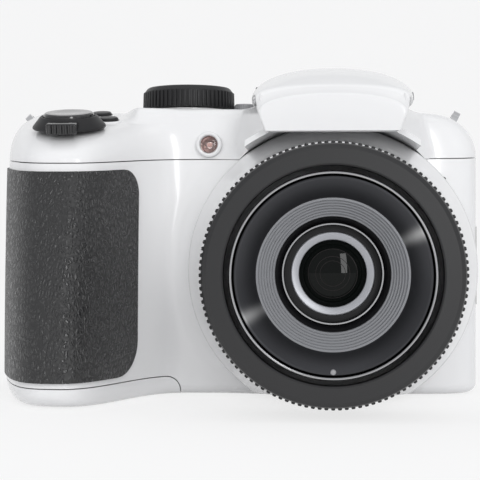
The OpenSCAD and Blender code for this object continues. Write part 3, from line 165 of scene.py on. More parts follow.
class Effects:
    """Shader node groups that several finishes share."""

    def __init__(self) -> None:
        """Builds each group once."""
        self.moulded = self._moulded()
        self.leather = self._leather()
        self.turned = self._turned()

    @staticmethod
    def _group(name: str, inputs: dict[str, float], outputs: Sequence[str]) -> tuple[Paint,
            bpy.types.Node, bpy.types.Node]:
        """Starts a group with float inputs and outputs.

        Args:
            name: The group's name.
            inputs: Input names and their defaults.
            outputs: Output names.

        Returns:
            The tree wrapper and the group's input and output nodes.
        """
        tree = bpy.data.node_groups.new(name, "ShaderNodeTree")
        for label, value in inputs.items():
            socket = tree.interface.new_socket(name=label, in_out="INPUT", socket_type="NodeSocketFloat")
            socket.default_value = value
        for label in outputs:
            tree.interface.new_socket(name=label, in_out="OUTPUT", socket_type="NodeSocketFloat")
        paint = Paint(tree)
        return paint, paint.add("NodeGroupInput"), paint.add("NodeGroupOutput")

    def _moulded(self) -> bpy.types.NodeTree:
        """Fine spark texture and slow gloss changes of moulded or cast surfaces."""
        p, given, out = self._group(
            "MouldedSurface", {"Grain": 2500.0, "Roughness": 0.3, "Spread": 0.05},
            ["Roughness", "Height", "Shade"])
        place = p.add("ShaderNodeTexCoord")
        slow = p.add("ShaderNodeTexNoise", in_Scale=55.0, in_Detail=3.0)
        fine = p.add("ShaderNodeTexNoise", in_Detail=2.0)
        p.link(place.outputs["Object"], slow.inputs["Vector"])
        p.link(place.outputs["Object"], fine.inputs["Vector"])
        p.link(given.outputs["Grain"], fine.inputs["Scale"])
        swing = p.math("MULTIPLY", p.math("SUBTRACT", slow.outputs[0], 0.5), given.outputs["Spread"])
        p.link(p.math("ADD", given.outputs["Roughness"], swing), out.inputs["Roughness"])
        p.link(fine.outputs[0], out.inputs["Height"])
        p.link(slow.outputs[0], out.inputs["Shade"])
        return p.tree

    def _leather(self) -> bpy.types.NodeTree:
        """Pebbled grain with creases between the pebbles."""
        p, given, out = self._group("LeatherGrain", {"Cells": 1100.0}, ["Height", "Crease"])
        place = p.add("ShaderNodeTexCoord")
        warp = p.add("ShaderNodeTexNoise", in_Scale=420.0, in_Detail=2.0)
        p.link(place.outputs["Object"], warp.inputs["Vector"])
        shift = p.add("ShaderNodeVectorMath", operation="SCALE", in_Scale=0.0011)
        p.link(warp.outputs["Color"], shift.inputs[0])
        drawn = p.add("ShaderNodeVectorMath", operation="MULTIPLY")
        drawn.inputs[1].default_value = (1.0, 1.0, 0.55)
        p.link(place.outputs["Object"], drawn.inputs[0])
        moved = p.add("ShaderNodeVectorMath", operation="ADD")
        p.link(drawn.outputs[0], moved.inputs[0])
        p.link(shift.outputs[0], moved.inputs[1])
        cells = p.add("ShaderNodeTexVoronoi", feature="DISTANCE_TO_EDGE")
        p.link(moved.outputs[0], cells.inputs["Vector"])
        p.link(given.outputs["Cells"], cells.inputs["Scale"])
        pebble = p.add("ShaderNodeMapRange", interpolation_type="SMOOTHSTEP", in_From_Min=0.02,
            in_From_Max=0.3)
        p.link(cells.outputs["Distance"], pebble.inputs["Value"])
        pores = p.add("ShaderNodeTexNoise", in_Scale=3800.0, in_Detail=2.0)
        p.link(place.outputs["Object"], pores.inputs["Vector"])
        p.link(p.math("ADD", pebble.outputs[0], p.math("MULTIPLY", pores.outputs[0], 0.35)),
            out.inputs["Height"])
        p.link(p.math("SUBTRACT", 1.0, pebble.outputs[0]), out.inputs["Crease"])
        return p.tree

    def _turned(self) -> bpy.types.NodeTree:
        """Fine rings of a surface cut on a lathe, centred on the lens axis, with a mask for a painted highlight
        streak across the axis.
        """
        p, given, out = self._group("TurnedRings", {"Pitch": 9000.0, "Height": 31.6},
            ["Height", "Mask", "PaintedStreak"])
        place = p.add("ShaderNodeTexCoord")
        split = p.add("ShaderNodeSeparateXYZ")
        p.link(place.outputs["Object"], split.inputs[0])
        rise = p.math("SUBTRACT", split.outputs["Z"], p.math("MULTIPLY", given.outputs["Height"], MM))
        reach = p.math("SQRT", p.math(
            "ADD", p.math("MULTIPLY", split.outputs["X"], split.outputs["X"]),
            p.math("MULTIPLY", rise, rise)))
        grooves = p.add("ShaderNodeTexNoise", noise_dimensions="1D", in_Scale=1.0, in_Detail=3.0)
        p.link(p.math("MULTIPLY", reach, given.outputs["Pitch"]), grooves.inputs["W"])
        p.link(grooves.outputs[0], out.inputs["Height"])
        p.link(grooves.outputs[0], out.inputs["Mask"])
        # Painted highlight: mask of a narrow streak along one line through the lens axis, on both sides of it,
        # standing in for a lamp's reflection on turned metal.
        across, up = math.cos(PAINTED_STREAK_ANGLE), math.sin(PAINTED_STREAK_ANGLE)
        along = p.math("ADD", p.math("MULTIPLY", split.outputs["X"], across), p.math("MULTIPLY", rise, up))
        turn = p.math("DIVIDE", along, reach)
        p.link(p.math("POWER", p.math("ABSOLUTE", turn), PAINTED_STREAK_POWER), out.inputs["PaintedStreak"])
        return p.tree


@dataclass(frozen=True)
class Finish:
    """A moulded, painted or metal finish."""

    label: str
    slot: Slot
    colour: Colour
    roughness: float = 0.35
    metallic: float = 0.0
    coat: float = 0.0
    grain: float = 2500.0
    depth: float = 0.0
    spread: float = 0.06
    shade: float = 0.06
    shine: float = 0.5

    def material(self, effects: Effects) -> bpy.types.Material:
        """Builds the material.

        Args:
            effects: The shared node groups.

        Returns:
            The new material.
        """
        made = bpy.data.materials.new(self.label)
        made.use_nodes = True
        made.diffuse_color = (*self.colour, 1.0)
        p = Paint(made.node_tree)
        shader = made.node_tree.nodes["Principled BSDF"]
        shader.inputs["Metallic"].default_value = self.metallic
        shader.inputs["Specular IOR Level"].default_value = self.shine
        shader.inputs["Coat Weight"].default_value = self.coat
        shader.inputs["Coat Roughness"].default_value = 0.06
        self.dress(p, shader, effects)
        return made

    def dress(self, p: Paint, shader: bpy.types.Node, effects: Effects) -> None:
        """Adds the surface detail.

        Args:
            p: The material's tree.
            shader: Its Principled BSDF.
            effects: The shared node groups.
        """
        life = p.add("ShaderNodeGroup", node_tree=effects.moulded)
        life.inputs["Grain"].default_value = self.grain
        life.inputs["Roughness"].default_value = self.roughness
        life.inputs["Spread"].default_value = self.spread
        p.link(life.outputs["Roughness"], shader.inputs["Roughness"])
        self.bump(p, shader, life.outputs["Height"])
        self.tint(p, shader, life.outputs["Shade"])

    def bump(self, p: Paint, shader: bpy.types.Node, height: bpy.types.NodeSocket) -> None:
        """Links a height to the shader's normal.

        Args:
            p: The material's tree.
            shader: Its Principled BSDF.
            height: The height socket.
        """
        if self.depth > 0:
            bump = p.add("ShaderNodeBump", in_Distance=self.depth * MM, in_Strength=1.0)
            p.link(height, bump.inputs["Height"])
            p.link(bump.outputs["Normal"], shader.inputs["Normal"])

    def tint(self, p: Paint, shader: bpy.types.Node, mask: bpy.types.NodeSocket) -> None:
        """Varies the colour with a mask.

        Args:
            p: The material's tree.
            shader: Its Principled BSDF.
            mask: Where the colour darkens.
        """
        mix = p.add("ShaderNodeMix", data_type="RGBA")
        mix.inputs["A"].default_value = (*self.colour, 1.0)
        mix.inputs["B"].default_value = (*[c * (1 - self.shade) for c in self.colour], 1.0)
        p.link(mask, mix.inputs["Factor"])
        p.link(mix.outputs["Result"], shader.inputs["Base Color"])


@dataclass(frozen=True)
class LeatherFinish(Finish):
    """Leather-grained soft plastic."""

    cells: float = 1100.0

    def dress(self, p: Paint, shader: bpy.types.Node, effects: Effects) -> None:
        """Adds pebbled grain to the surface.

        Args:
            p: The material's tree.
            shader: Its Principled BSDF.
            effects: The shared node groups.
        """
        grain = p.add("ShaderNodeGroup", node_tree=effects.leather)
        grain.inputs["Cells"].default_value = self.cells
        rough = p.add("ShaderNodeMapRange", in_To_Min=self.roughness, in_To_Max=self.roughness + 0.25)
        p.link(grain.outputs["Crease"], rough.inputs["Value"])
        p.link(rough.outputs[0], shader.inputs["Roughness"])
        self.bump(p, shader, grain.outputs["Height"])
        self.tint(p, shader, grain.outputs["Crease"])


@dataclass(frozen=True)
class TurnedFinish(Finish):
    """A surface cut on a lathe, with an optional painted highlight streak."""

    pitch: float = 9000.0
    # sweep: brightness of a painted highlight streak; 0 paints none.
    sweep: float = 0.0

    def dress(self, p: Paint, shader: bpy.types.Node, effects: Effects) -> None:
        """Adds fine rings to the surface, and a painted highlight streak when sweep is above 0.

        Args:
            p: The material's tree.
            shader: Its Principled BSDF.
            effects: The shared node groups.
        """
        rings = p.add("ShaderNodeGroup", node_tree=effects.turned)
        rings.inputs["Pitch"].default_value = self.pitch
        rough = p.add("ShaderNodeMapRange", in_To_Min=self.roughness - self.spread,
            in_To_Max=self.roughness + self.spread)
        p.link(rings.outputs["Mask"], rough.inputs["Value"])
        p.link(rough.outputs[0], shader.inputs["Roughness"])
        self.bump(p, shader, rings.outputs["Height"])
        self.tint(p, shader, rings.outputs["Mask"])
        # Painted highlight: the base colour is mixed towards a grey of the sweep's brightness along the painted
        # streak mask.
        if self.sweep > 0:
            bright = p.add("ShaderNodeMix", data_type="RGBA")
            bright.inputs["B"].default_value = (self.sweep, self.sweep, self.sweep, 1.0)
            p.link(rings.outputs["PaintedStreak"], bright.inputs["Factor"])
            p.link(shader.inputs["Base Color"].links[0].from_socket, bright.inputs["A"])
            p.link(bright.outputs["Result"], shader.inputs["Base Color"])


@dataclass(frozen=True)
class GlassFinish(Finish):
    """Clear or tinted glass with a thin coating."""

    transmission: float = 1.0
    film: float = 0.0

    def material(self, effects: Effects) -> bpy.types.Material:
        """Builds the glass.

        Args:
            effects: The shared node groups.

        Returns:
            The new material.
        """
        made = super().material(effects)
        shader = made.node_tree.nodes["Principled BSDF"]
        shader.inputs["Transmission Weight"].default_value = self.transmission
        shader.inputs["IOR"].default_value = 1.5
        shader.inputs["Thin Film Thickness"].default_value = self.film
        shader.inputs["Thin Film IOR"].default_value = 1.38
        return made


WHITE = Finish("white_moulding", Slot.WHITE, (0.83, 0.83, 0.835), 0.24, coat=0.35, grain=3200,
    depth=0.002, shade=0.03)
LEATHER = LeatherFinish("grip_leather", Slot.LEATHER, (0.018, 0.018, 0.019), 0.26, depth=0.16, shade=0.5,
    shine=0.75)
BLACK = Finish("black_moulding", Slot.BLACK, (0.012, 0.012, 0.013), 0.45, grain=4200, depth=0.008,
    shine=0.4)
GLOSS_BLACK = Finish("polished_black", Slot.GLOSS_BLACK, (0.012, 0.012, 0.013), 0.16, coat=0.4)
RING = Finish("ring_satin", Slot.RING, (0.022, 0.022, 0.023), 0.42, grain=5200, depth=0.006, shine=0.4)
# The nose cone's sweep paints a highlight streak at 2 and 8 o'clock into its base colour.
NOSE = TurnedFinish("turned_nose", Slot.NOSE, (0.072, 0.073, 0.079), 0.36, metallic=0.95, shade=0.18,
    sweep=0.42)
STEP_GREY = TurnedFinish("stepped_grey", Slot.GREY_METAL, (0.24, 0.245, 0.26), 0.42, metallic=0.3,
    depth=0.002, shade=0.1)
RETAINER = TurnedFinish("retainer_grey", Slot.GREY_METAL, (0.46, 0.47, 0.5), 0.38, metallic=0.4,
    depth=0.002, shade=0.08)
STOP = Finish("stop_edge", Slot.BLACK, (0.014, 0.011, 0.011), 0.5, shine=0.2)
INNER_BLACK = Finish("inner_black", Slot.BLACK, (0.006, 0.006, 0.007), 0.35, grain=4200, depth=0.004,
    shine=0.3)
RIM = TurnedFinish("bright_rim", Slot.BRIGHT, (0.45, 0.45, 0.46), 0.22, metallic=1.0, depth=0.001,
    shade=0.05)
GREY_PART = Finish("grey_moulding", Slot.GREY_METAL, (0.33, 0.33, 0.34), 0.38, metallic=0.3, grain=4200,
    depth=0.003)
LENS = Finish("lens_black", Slot.GLASS, (0.003, 0.004, 0.0035), 0.03, spread=0.0, shine=0.16)
GLASS = GlassFinish("coated_glass", Slot.GLASS, (0.9, 0.93, 0.92), 0.02, spread=0.0, shade=0.02, film=420.0)
LAMP = GlassFinish("lamp_glass", Slot.LAMP, (0.9, 0.8, 0.78), 0.05, spread=0.0, shade=0.04)
LAMP_DIE = Finish("lamp_die", Slot.LAMP, (0.6, 0.4, 0.36), 0.3, metallic=0.4)
SCREEN = Finish("screen_glass", Slot.SCREEN, (0.008, 0.008, 0.01), 0.06, coat=0.6, spread=0.02)
CLEAR = GlassFinish("flash_lens", Slot.CLEAR, (0.9, 0.9, 0.88), 0.15, transmission=0.7)
STEEL = Finish("plain_steel", Slot.STEEL, (0.55, 0.55, 0.55), 0.32, metallic=1.0, grain=900, depth=0.002)
BRIGHT = Finish("polished_metal", Slot.BRIGHT, (0.72, 0.72, 0.73), 0.14, metallic=1.0)
BRASS = Finish("plain_brass", Slot.BRASS, (0.62, 0.46, 0.2), 0.3, metallic=1.0)
BOARD = Finish("board_green", Slot.BOARD, (0.02, 0.12, 0.055), 0.4, grain=700, depth=0.004)
RUBBER = Finish("flap_rubber", Slot.RUBBER, (0.62, 0.62, 0.615), 0.6, grain=3600, depth=0.006)
RED = Finish("record_red", Slot.RED, (0.5, 0.02, 0.02), 0.25, coat=0.3)
PACK = Finish("pack_wrap", Slot.PACK, (0.05, 0.05, 0.06), 0.45)
MARK = Finish("printed_mark", Slot.CLEAR, (0.75, 0.75, 0.74), 0.5)

NODE_FINISH: dict[Slot, Finish] = {
    Slot.WHITE: WHITE, Slot.LEATHER: LEATHER, Slot.BLACK: BLACK, Slot.GLOSS_BLACK: GLOSS_BLACK,
    Slot.RING: RING,
    Slot.NOSE: NOSE, Slot.GREY_METAL: GREY_PART, Slot.BRIGHT: BRIGHT, Slot.GLASS: GLASS, Slot.LAMP: LAMP,
    Slot.SCREEN: SCREEN, Slot.CLEAR: CLEAR, Slot.STEEL: STEEL, Slot.BRASS: BRASS, Slot.BOARD: BOARD,
    Slot.RUBBER: RUBBER, Slot.RED: RED, Slot.PACK: PACK,
}


class Bench:
    """Makes meshes with bmesh operators and hands over finished pieces."""

    def __init__(self) -> None:
        """Starts with the shared effects and no materials."""
        self.effects = Effects()
        self.materials: dict[str, bpy.types.Material] = {}

    def paint(self, finish: Finish) -> bpy.types.Material:
        """Returns a finish's material, made on first use."""
        if finish.label not in self.materials:
            self.materials[finish.label] = finish.material(self.effects)
        return self.materials[finish.label]

    def piece(
        self, name: str, bm: bmesh.types.BMesh, body: str, finish: Finish, nodes: Sequence[str] = (),
        sharp: float = 38.0,
    ) -> bpy.types.Object:
        """Turns a bmesh into a piece that rides a body.

        Args:
            name: The piece's name.
            bm: Its shape, which is freed.
            body: The body that carries it.
            finish: Its finish.
            nodes: The nodes that it stands for.
            sharp: Edges past this angle in degrees stay sharp.

        Returns:
            The piece.
        """
        obj = self.solid(name, bm)
        self.shade(obj, sharp)
        obj.data.materials.clear()
        obj.data.materials.append(self.paint(finish))
        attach(obj, body)
        if nodes:
            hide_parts(*nodes)
        LOG.info("%s on %s: %d faces", name, body, len(obj.data.polygons))
        return obj

    @staticmethod
    def shade(obj: bpy.types.Object, sharp: float) -> None:
        """Shades an object smooth, with sharp edges past an angle."""
        obj.data.shade_smooth()
        obj.data.set_sharp_from_angle(angle=math.radians(sharp))

    @staticmethod
    def solid(name: str, bm: bmesh.types.BMesh) -> bpy.types.Object:
        """Writes a bmesh to a new linked object.

        Args:
            name: The object's name.
            bm: The shape, which is freed.

        Returns:
            The object.
        """
        mesh = bpy.data.meshes.new(name)
        bm.to_mesh(mesh)
        bm.free()
        obj = bpy.data.objects.new(name, mesh)
        bpy.context.scene.collection.objects.link(obj)
        return obj

    @staticmethod
    def settle(obj: bpy.types.Object) -> None:
        """Applies an object's modifiers to its mesh."""
        seen = bpy.context.evaluated_depsgraph_get()
        mesh = bpy.data.meshes.new_from_object(obj.evaluated_get(seen))
        old = obj.data
        obj.modifiers.clear()
        obj.data = mesh
        bpy.data.meshes.remove(old)

    def work(self, obj: bpy.types.Object, tool: bmesh.types.BMesh, op: Op) -> None:
        """Cuts, joins or keeps an object with a tool shape.

        Args:
            obj: The object that is worked on.
            tool: The closed tool shape, which is freed.
            op: The way that it works.
        """
        other = self.solid("tool", tool)
        modifier = obj.modifiers.new("work", "BOOLEAN")
        modifier.operation = op.value
        modifier.solver = "EXACT"
        modifier.object = other
        self.settle(obj)
        mesh = other.data
        bpy.data.objects.remove(other)
        bpy.data.meshes.remove(mesh)

    def thicken(self, obj: bpy.types.Object, wall: float, even: bool = True) -> None:
        """Gives a sheet a wall inwards.

        Args:
            obj: The sheet.
            wall: The wall in millimetres.
            even: Whether the wall keeps its thickness at corners.
        """
        modifier = obj.modifiers.new("wall", "SOLIDIFY")
        modifier.thickness = wall * MM
        modifier.offset = -1.0
        modifier.use_even_offset = even
        self.settle(obj)

    @staticmethod
    def taken(obj: bpy.types.Object) -> bmesh.types.BMesh:
        """Moves an object's mesh back to a bmesh and removes the object."""
        bm = bmesh.new()
        bm.from_mesh(obj.data)
        mesh = obj.data
        bpy.data.objects.remove(obj)
        bpy.data.meshes.remove(mesh)
        return bm

    @staticmethod
    def sheet(cols: int, rows: int, rule: Rule, outward: Vector) -> bmesh.types.BMesh:
        """Shapes a grid by a rule.

        Args:
            cols: Faces along the first parameter.
            rows: Faces along the second parameter.
            rule: Gives a point in millimetres for two parameters from 0 to 1.
            outward: The way that most faces look.

        Returns:
            The sheet.
        """
        bm = bmesh.new()
        bmesh.ops.create_grid(bm, x_segments=cols, y_segments=rows, size=1.0)
        for v in bm.verts:
            v.co = Vector(rule((v.co.x + 1) / 2, (v.co.y + 1) / 2)) * MM
        bm.normal_update()
        look = Vector((0, 0, 0))
        for f in bm.faces:
            look += f.normal * f.calc_area()
        if look.dot(outward) < 0:
            bmesh.ops.reverse_faces(bm, faces=bm.faces)
        return bm

    @staticmethod
    def turned(profile: Profile, place: Matrix, steps: int = 128, closed: bool = True) -> bmesh.types.BMesh:
        """Spins a profile about its own Z axis.

        Args:
            profile: Points of radius and height in millimetres.
            place: Where the shape goes.
            steps: Steps round the turn.
            closed: Whether the profile joins its ends.

        Returns:
            The turned shape.
        """
        bm = bmesh.new()
        verts = [bm.verts.new((r * MM, 0, h * MM)) for r, h in profile]
        edges = [bm.edges.new(pair) for pair in zip(verts, verts[1:])]
        if closed:
            edges.append(bm.edges.new((verts[-1], verts[0])))
        bmesh.ops.spin(
            bm, geom=verts + edges, cent=(0, 0, 0), axis=(0, 0, 1), angle=2 * math.pi, steps=steps,
            use_merge=True)
        bmesh.ops.remove_doubles(bm, verts=bm.verts, dist=1e-6)
        bmesh.ops.recalc_face_normals(bm, faces=bm.faces)
        bmesh.ops.transform(bm, matrix=place, verts=bm.verts)
        return bm

    @staticmethod
    def block(lo: Sequence[float], hi: Sequence[float], place: Matrix | None = None) -> bmesh.types.BMesh:
        """Makes a box between two corners in millimetres.

        Args:
            lo: The lowest corner.
            hi: The highest corner.
            place: Where the box goes.

        Returns:
            The box.
        """
        size = [(b - a) * MM for a, b in zip(lo, hi)]
        centre = Vector([(a + b) / 2 * MM for a, b in zip(lo, hi)])
        bm = bmesh.new()
        bmesh.ops.create_cube(bm, size=1.0, matrix=Matrix.Translation(centre) @ Matrix.Diagonal((*size,
            1.0)))
        if place is not None:
            bmesh.ops.transform(bm, matrix=place, verts=bm.verts)
        return bm

    @staticmethod
    def rod(radius: float, start: Vector, end: Vector, sides: int = 48) -> bmesh.types.BMesh:
        """Makes a round bar between two points in millimetres.

        Args:
            radius: The bar's radius.
            start: The middle of one end.
            end: The middle of the other end.
            sides: Faces round the bar.

        Returns:
            The bar.
        """
        way = end - start
        bm = bmesh.new()
        place = Matrix.Translation((start + end) / 2 * MM) @ way.to_track_quat("Z",
            "Y").to_matrix().to_4x4()
        bmesh.ops.create_cone(
            bm, cap_ends=True, segments=sides, radius1=radius * MM, radius2=radius * MM,
            depth=way.length * MM, matrix=place)
        return bm

    @staticmethod
    def soften(bm: bmesh.types.BMesh, width: float, segments: int = 3,
            angle: float = 40.0) -> bmesh.types.BMesh:
        """Rounds the sharp edges.

        Args:
            bm: The shape.
            width: The bevel's width in millimetres.
            segments: Faces across the bevel.
            angle: Edges past this angle in degrees are rounded.

        Returns:
            The same shape.
        """
        limit = math.radians(angle)
        edges = [e for e in bm.edges if len(e.link_faces) == 2 and e.calc_face_angle(0) > limit]
        bmesh.ops.bevel(
            bm, geom=edges, offset=width * MM, offset_type="OFFSET", segments=segments, profile=0.5,
            affect="EDGES",
            material=-1, clamp_overlap=True)
        return bm

    @staticmethod
    def gather(*parts: bmesh.types.BMesh) -> bmesh.types.BMesh:
        """Joins several shapes into the first, and frees the others."""
        whole = parts[0]
        for part in parts[1:]:
            mesh = bpy.data.meshes.new("gathered")
            part.to_mesh(mesh)
            part.free()
            whole.from_mesh(mesh)
            bpy.data.meshes.remove(mesh)
        return whole

    @staticmethod
    def around(bm: bmesh.types.BMesh, count: int, place: Matrix) -> bmesh.types.BMesh:
        """Repeats a shape round its Z axis, then places it.

        Args:
            bm: The shape, made off the axis.
            count: How many there are.
            place: Where the ring of shapes goes.

        Returns:
            The same shape.
        """
        geom = list(bm.verts) + list(bm.edges) + list(bm.faces)
        bmesh.ops.spin(
            bm, geom=geom, cent=(0, 0, 0), axis=(0, 0, 1), angle=2 * math.pi * (count - 1) / count,
            steps=count - 1,
            use_duplicate=True)
        bmesh.ops.transform(bm, matrix=place, verts=bm.verts)
        return bm


@dataclass(frozen=True)
class BodyForm:
    """Shape rules of the moulded body, in millimetres."""

    width: float = 119.8
    lens_side: float = 37.3
    front_depth: float = 15.0
    back_depth: float = 15.0
    joint_y: float = 7.0
    seam_z: float = 59.5
    seam_tilt: float = 0.09
    deck_z: float = 73.9
    deck_fall: float = 2.7
    deck_crown: float = 0.15
    shoulder_r: float = 10.5
    plan_power: float = 7.0
    wall: float = 1.8
    foot_r: float = 2.6
    grip_foot_r: float = 5.0
    seam_gap: float = 0.25
    grip_in: float = 16.6
    grip_half: float = 17.0
    grip_out: float = 35.0
    grip_lean: float = 0.34
    foot_blend: float = 26.0
    lift_z: float = 10.0
    door_len: float = 43.9
    grip_v: float = 0.69
    grip_curve: float = 2.3
    deck_cut: float = 18.0
    deck_step_in: float = 9.5
    deck_step_w: float = 7.0
    top_lean: float = 1.5
    top_edge_r: float = 1.6
    top_edge_v: float = 0.8
    canopy_out: float = 26.0
    canopy_half: float = 22.6
    canopy_taper: float = 2.6
    canopy_nose: float = 15.2
    canopy_nose_taper: float = 0.4
    canopy_power: float = 1.35
    lens_z: float = 31.6
    collar_r: float = 35.9
    collar_low: float = 1.2
    flare_h: float = 4.5
    flare_w: float = 7.5
    canopy_foot: float = 3.2
    swell: float = 0.9
    shoulder_left: float = 8.6

    @property
    def left(self) -> float:
        """X of the grip end."""
        return self.lens_side - self.width

    @property
    def half(self) -> float:
        """Half of the width."""
        return self.width / 2

    @property
    def mid(self) -> float:
        """X of the middle."""
        return self.lens_side - self.half

    @property
    def grip_x(self) -> float:
        """X of the grip's crest."""
        return self.left + self.grip_in

    @property
    def rim_y(self) -> float:
        """Y of the rear cover's edge."""
        return self.joint_y + self.seam_gap

    @property
    def corner(self) -> float:
        """Station where the plan turns from the face to the side."""
        return 0.5 ** (1 / self.plan_power)

    def station(self, a: float) -> float:
        """Spreads 0..1 over the plan, with more columns at the corners."""
        c = 2 * a - 1
        edge = 0.84
        k = self.corner
        if abs(c) <= edge:
            return c / edge * k
        return math.copysign(k + (abs(c) - edge) / (1 - edge) * (1 - k), c)

    def unit(self, s: float) -> tuple[float, float]:
        """Point on the unit plan outline.

        Args:
            s: Station from -1 to 1.

        Returns:
            Its two coordinates.
        """
        k, n = self.corner, self.plan_power
        if abs(s) <= k:
            return s, (1 - abs(s) ** n) ** (1 / n)
        q = max(0.0, k * (1 - abs(s)) / (1 - k))
        return math.copysign((1 - q ** n) ** (1 / n), s), q

    def bump(self, x: float) -> float:
        """Share of the grip's reach at x."""
        return math.exp(-(abs(x - self.grip_x) / self.grip_half) ** 3)

    def grip_at(self, z: float) -> float:
        """Reach of the grip at a height."""
        return self.grip_out * (1 - self.grip_lean * (z / self.seam_z) ** 2)

    def flare(self, x: float, z: float) -> float:
        """Soft rise of the face towards the lens collar."""
        d = max(0.0, math.hypot(x, z - self.lens_z) - self.collar_r)
        return self.flare_h * max(0.0, 1 - d / self.flare_w) ** 2.5 * smooth(-x / self.collar_r)

    def foot(self, x: float) -> float:
        """Edge radius under the body."""
        return lerp(self.foot_r, self.grip_foot_r, smooth((self.left + self.door_len - x) / self.foot_blend))

    def deck_at(self, x: float) -> float:
        """Height of the deck."""
        return self.deck_z - self.deck_fall * (x - self.left) / self.width

    def seam_at(self, y: float) -> float:
        """Height of the top seam."""
        return self.seam_z + self.seam_tilt * (y + self.front_depth)

    def lift(self, z: float, y: float) -> float:
        """Lifts a row so that the top row follows the seam."""
        share = clamp01((z - self.lift_z) / (self.seam_z - self.lift_z)) ** 2
        return z + self.seam_tilt * (y + self.front_depth) * share

    def swelling(self, u: float, inset: float = 0.0) -> float:
        """Extra width of the shells at the grip end, which brings them level with the pad."""
        return max(0.0, self.swell + min(0.0, inset)) * max(0.0, -u) ** 6

    def low_point(self, u: tuple[float, float], z: float, inset: float, half: Shell) -> tuple[float,
            float, float]:
        """Point on the lower body.

        Args:
            u: Point on the unit plan.
            z: Height before the seam's lift.
            inset: Distance inside the outer face.
            half: Front or rear.

        Returns:
            The point.
        """
        x = self.mid + (self.half - inset) * u[0] - self.swelling(u[0], inset)
        if half is Shell.FRONT:
            swell = self.grip_at(z) * self.bump(x) + self.flare(x, z)
            reach = self.front_depth + self.joint_y - inset + swell
            y = self.joint_y - reach * u[1]
        else:
            y = self.rim_y + (self.back_depth - self.rim_y - inset) * u[1]
        return x, y, self.lift(z, y)

    def low_rule(self, half: Shell) -> Rule:
        """Rule of a lower shell.

        Args:
            half: Front or rear.

        Returns:
            A rule whose second parameter runs from the base to the seam.
        """
        base, arc = 0.1, 0.24
        start = self.joint_y if half is Shell.FRONT else self.rim_y

        def rule(a: float, b: float) -> tuple[float, float, float]:
            """Point of the shell."""
            s = self.station(a)
            u = self.unit(s)
            r = self.foot(self.mid + self.half * u[0])
            if b < base:
                x1, y1, z1 = self.low_point(u, 0.0, r, half)
                t = b / base
                return lerp(self.mid + (self.half - r) * s, x1, t), lerp(start, y1, t), 0.0
            if b < arc:
                t = (b - base) / (arc - base) * math.pi / 2
                return self.low_point(u, r * (1 - math.cos(t)), r * (1 - math.sin(t)), half)
            return self.low_point(u, r + (self.seam_z - r) * (b - arc) / (1 - arc), 0.0, half)

        return rule

    def grip_reach(self, v: float) -> float:
        """Reach of the grip above the seam."""
        if v < self.grip_v:
            return self.grip_at(self.seam_z) * (1 - (v / self.grip_v) ** self.grip_curve)
        return -self.deck_cut * (v - self.grip_v) / (1 - self.grip_v)

    def canopy(self, x: float, v: float) -> float:
        """Reach of the canopy over the lens."""
        nose = self.canopy_nose - self.canopy_nose_taper * v
        wide = self.canopy_half - self.canopy_taper * v + self.canopy_foot
        t = clamp01((wide - abs(x)) / (wide - nose))
        return self.canopy_out * (1 - (1 - t ** 1.7) ** self.canopy_power)

    def top_point(self, u: tuple[float, float], v: float, half: Shell) -> tuple[float, float, float]:
        """Point on the top cover.

        Args:
            u: Point on the unit plan.
            v: 0 at the seam and 1 at the deck.
            half: Front or rear.

        Returns:
            The point.
        """
        bend = lerp(self.shoulder_r, self.shoulder_left, smooth(-3 * u[0])) * (1 - math.sqrt(max(0.0,
            1 - v * v)))
        x = self.mid + (self.half - bend) * u[0] - self.swelling(u[0])
        top = clamp01((v - self.top_edge_v) / (1 - self.top_edge_v))
        edge = self.top_lean * v + self.top_edge_r * (1 - math.sqrt(1 - top * top))
        if half is Shell.FRONT:
            g = self.grip_reach(v)
            step = 1 - smooth((x - self.grip_x - self.deck_step_in) / self.deck_step_w)
            z = lerp(self.seam_z, self.deck_at(x), v)
            flare = self.flare(x, z) * (1 - smooth(v))
            reach = g * (self.bump(x) if g > 0 else step) + max(self.canopy(x, v), flare)
            y = self.joint_y - (self.front_depth + self.joint_y - edge + reach) * u[1]
        else:
            y = self.joint_y + (self.back_depth - self.joint_y - edge) * u[1]
        low = self.seam_at(y) + self.seam_gap
        return x, y, lerp(low, self.deck_at(x), v)

    def top_rule(self, half: Shell) -> Rule:
        """Rule of half of the top cover.

        Args:
            half: Front or rear.

        Returns:
            A rule whose second parameter runs from the seam to the deck's ridge.
        """
        cap = 0.8

        def rule(a: float, b: float) -> tuple[float, float, float]:
            """Point of the cover."""
            s = self.station(a)
            u = self.unit(s)
            if b <= cap:
                return self.top_point(u, math.sin(math.pi / 2 * b / cap), half)
            x0, y0, z0 = self.top_point(u, 1.0, half)
            x1 = self.mid + (self.half - lerp(self.shoulder_r, self.shoulder_left,
                smooth(-3 * s))) * s - self.swelling(s)
            t = (b - cap) / (1 - cap)
            return lerp(x0, x1, t), lerp(y0, self.joint_y, t), lerp(z0,
                self.deck_at(x1) + self.deck_crown * (1 - s * s), t)

        return rule

    def top_z(self, x: float, y: float) -> float:
        """Height of the sloping top of the grip near its crest."""
        q = self.unit((x - self.mid) / (self.half - self.shoulder_r * 0.2))[1]
        g = (self.joint_y - y) / q - self.front_depth - self.joint_y + self.top_lean * 0.6
        if g > 0:
            v = self.grip_v * (1 - g / self.grip_at(self.seam_z)) ** (1 / self.grip_curve)
        else:
            v = self.grip_v - g * (1 - self.grip_v) / self.deck_cut
        return lerp(self.seam_at(y) + self.seam_gap, self.deck_at(x), v)

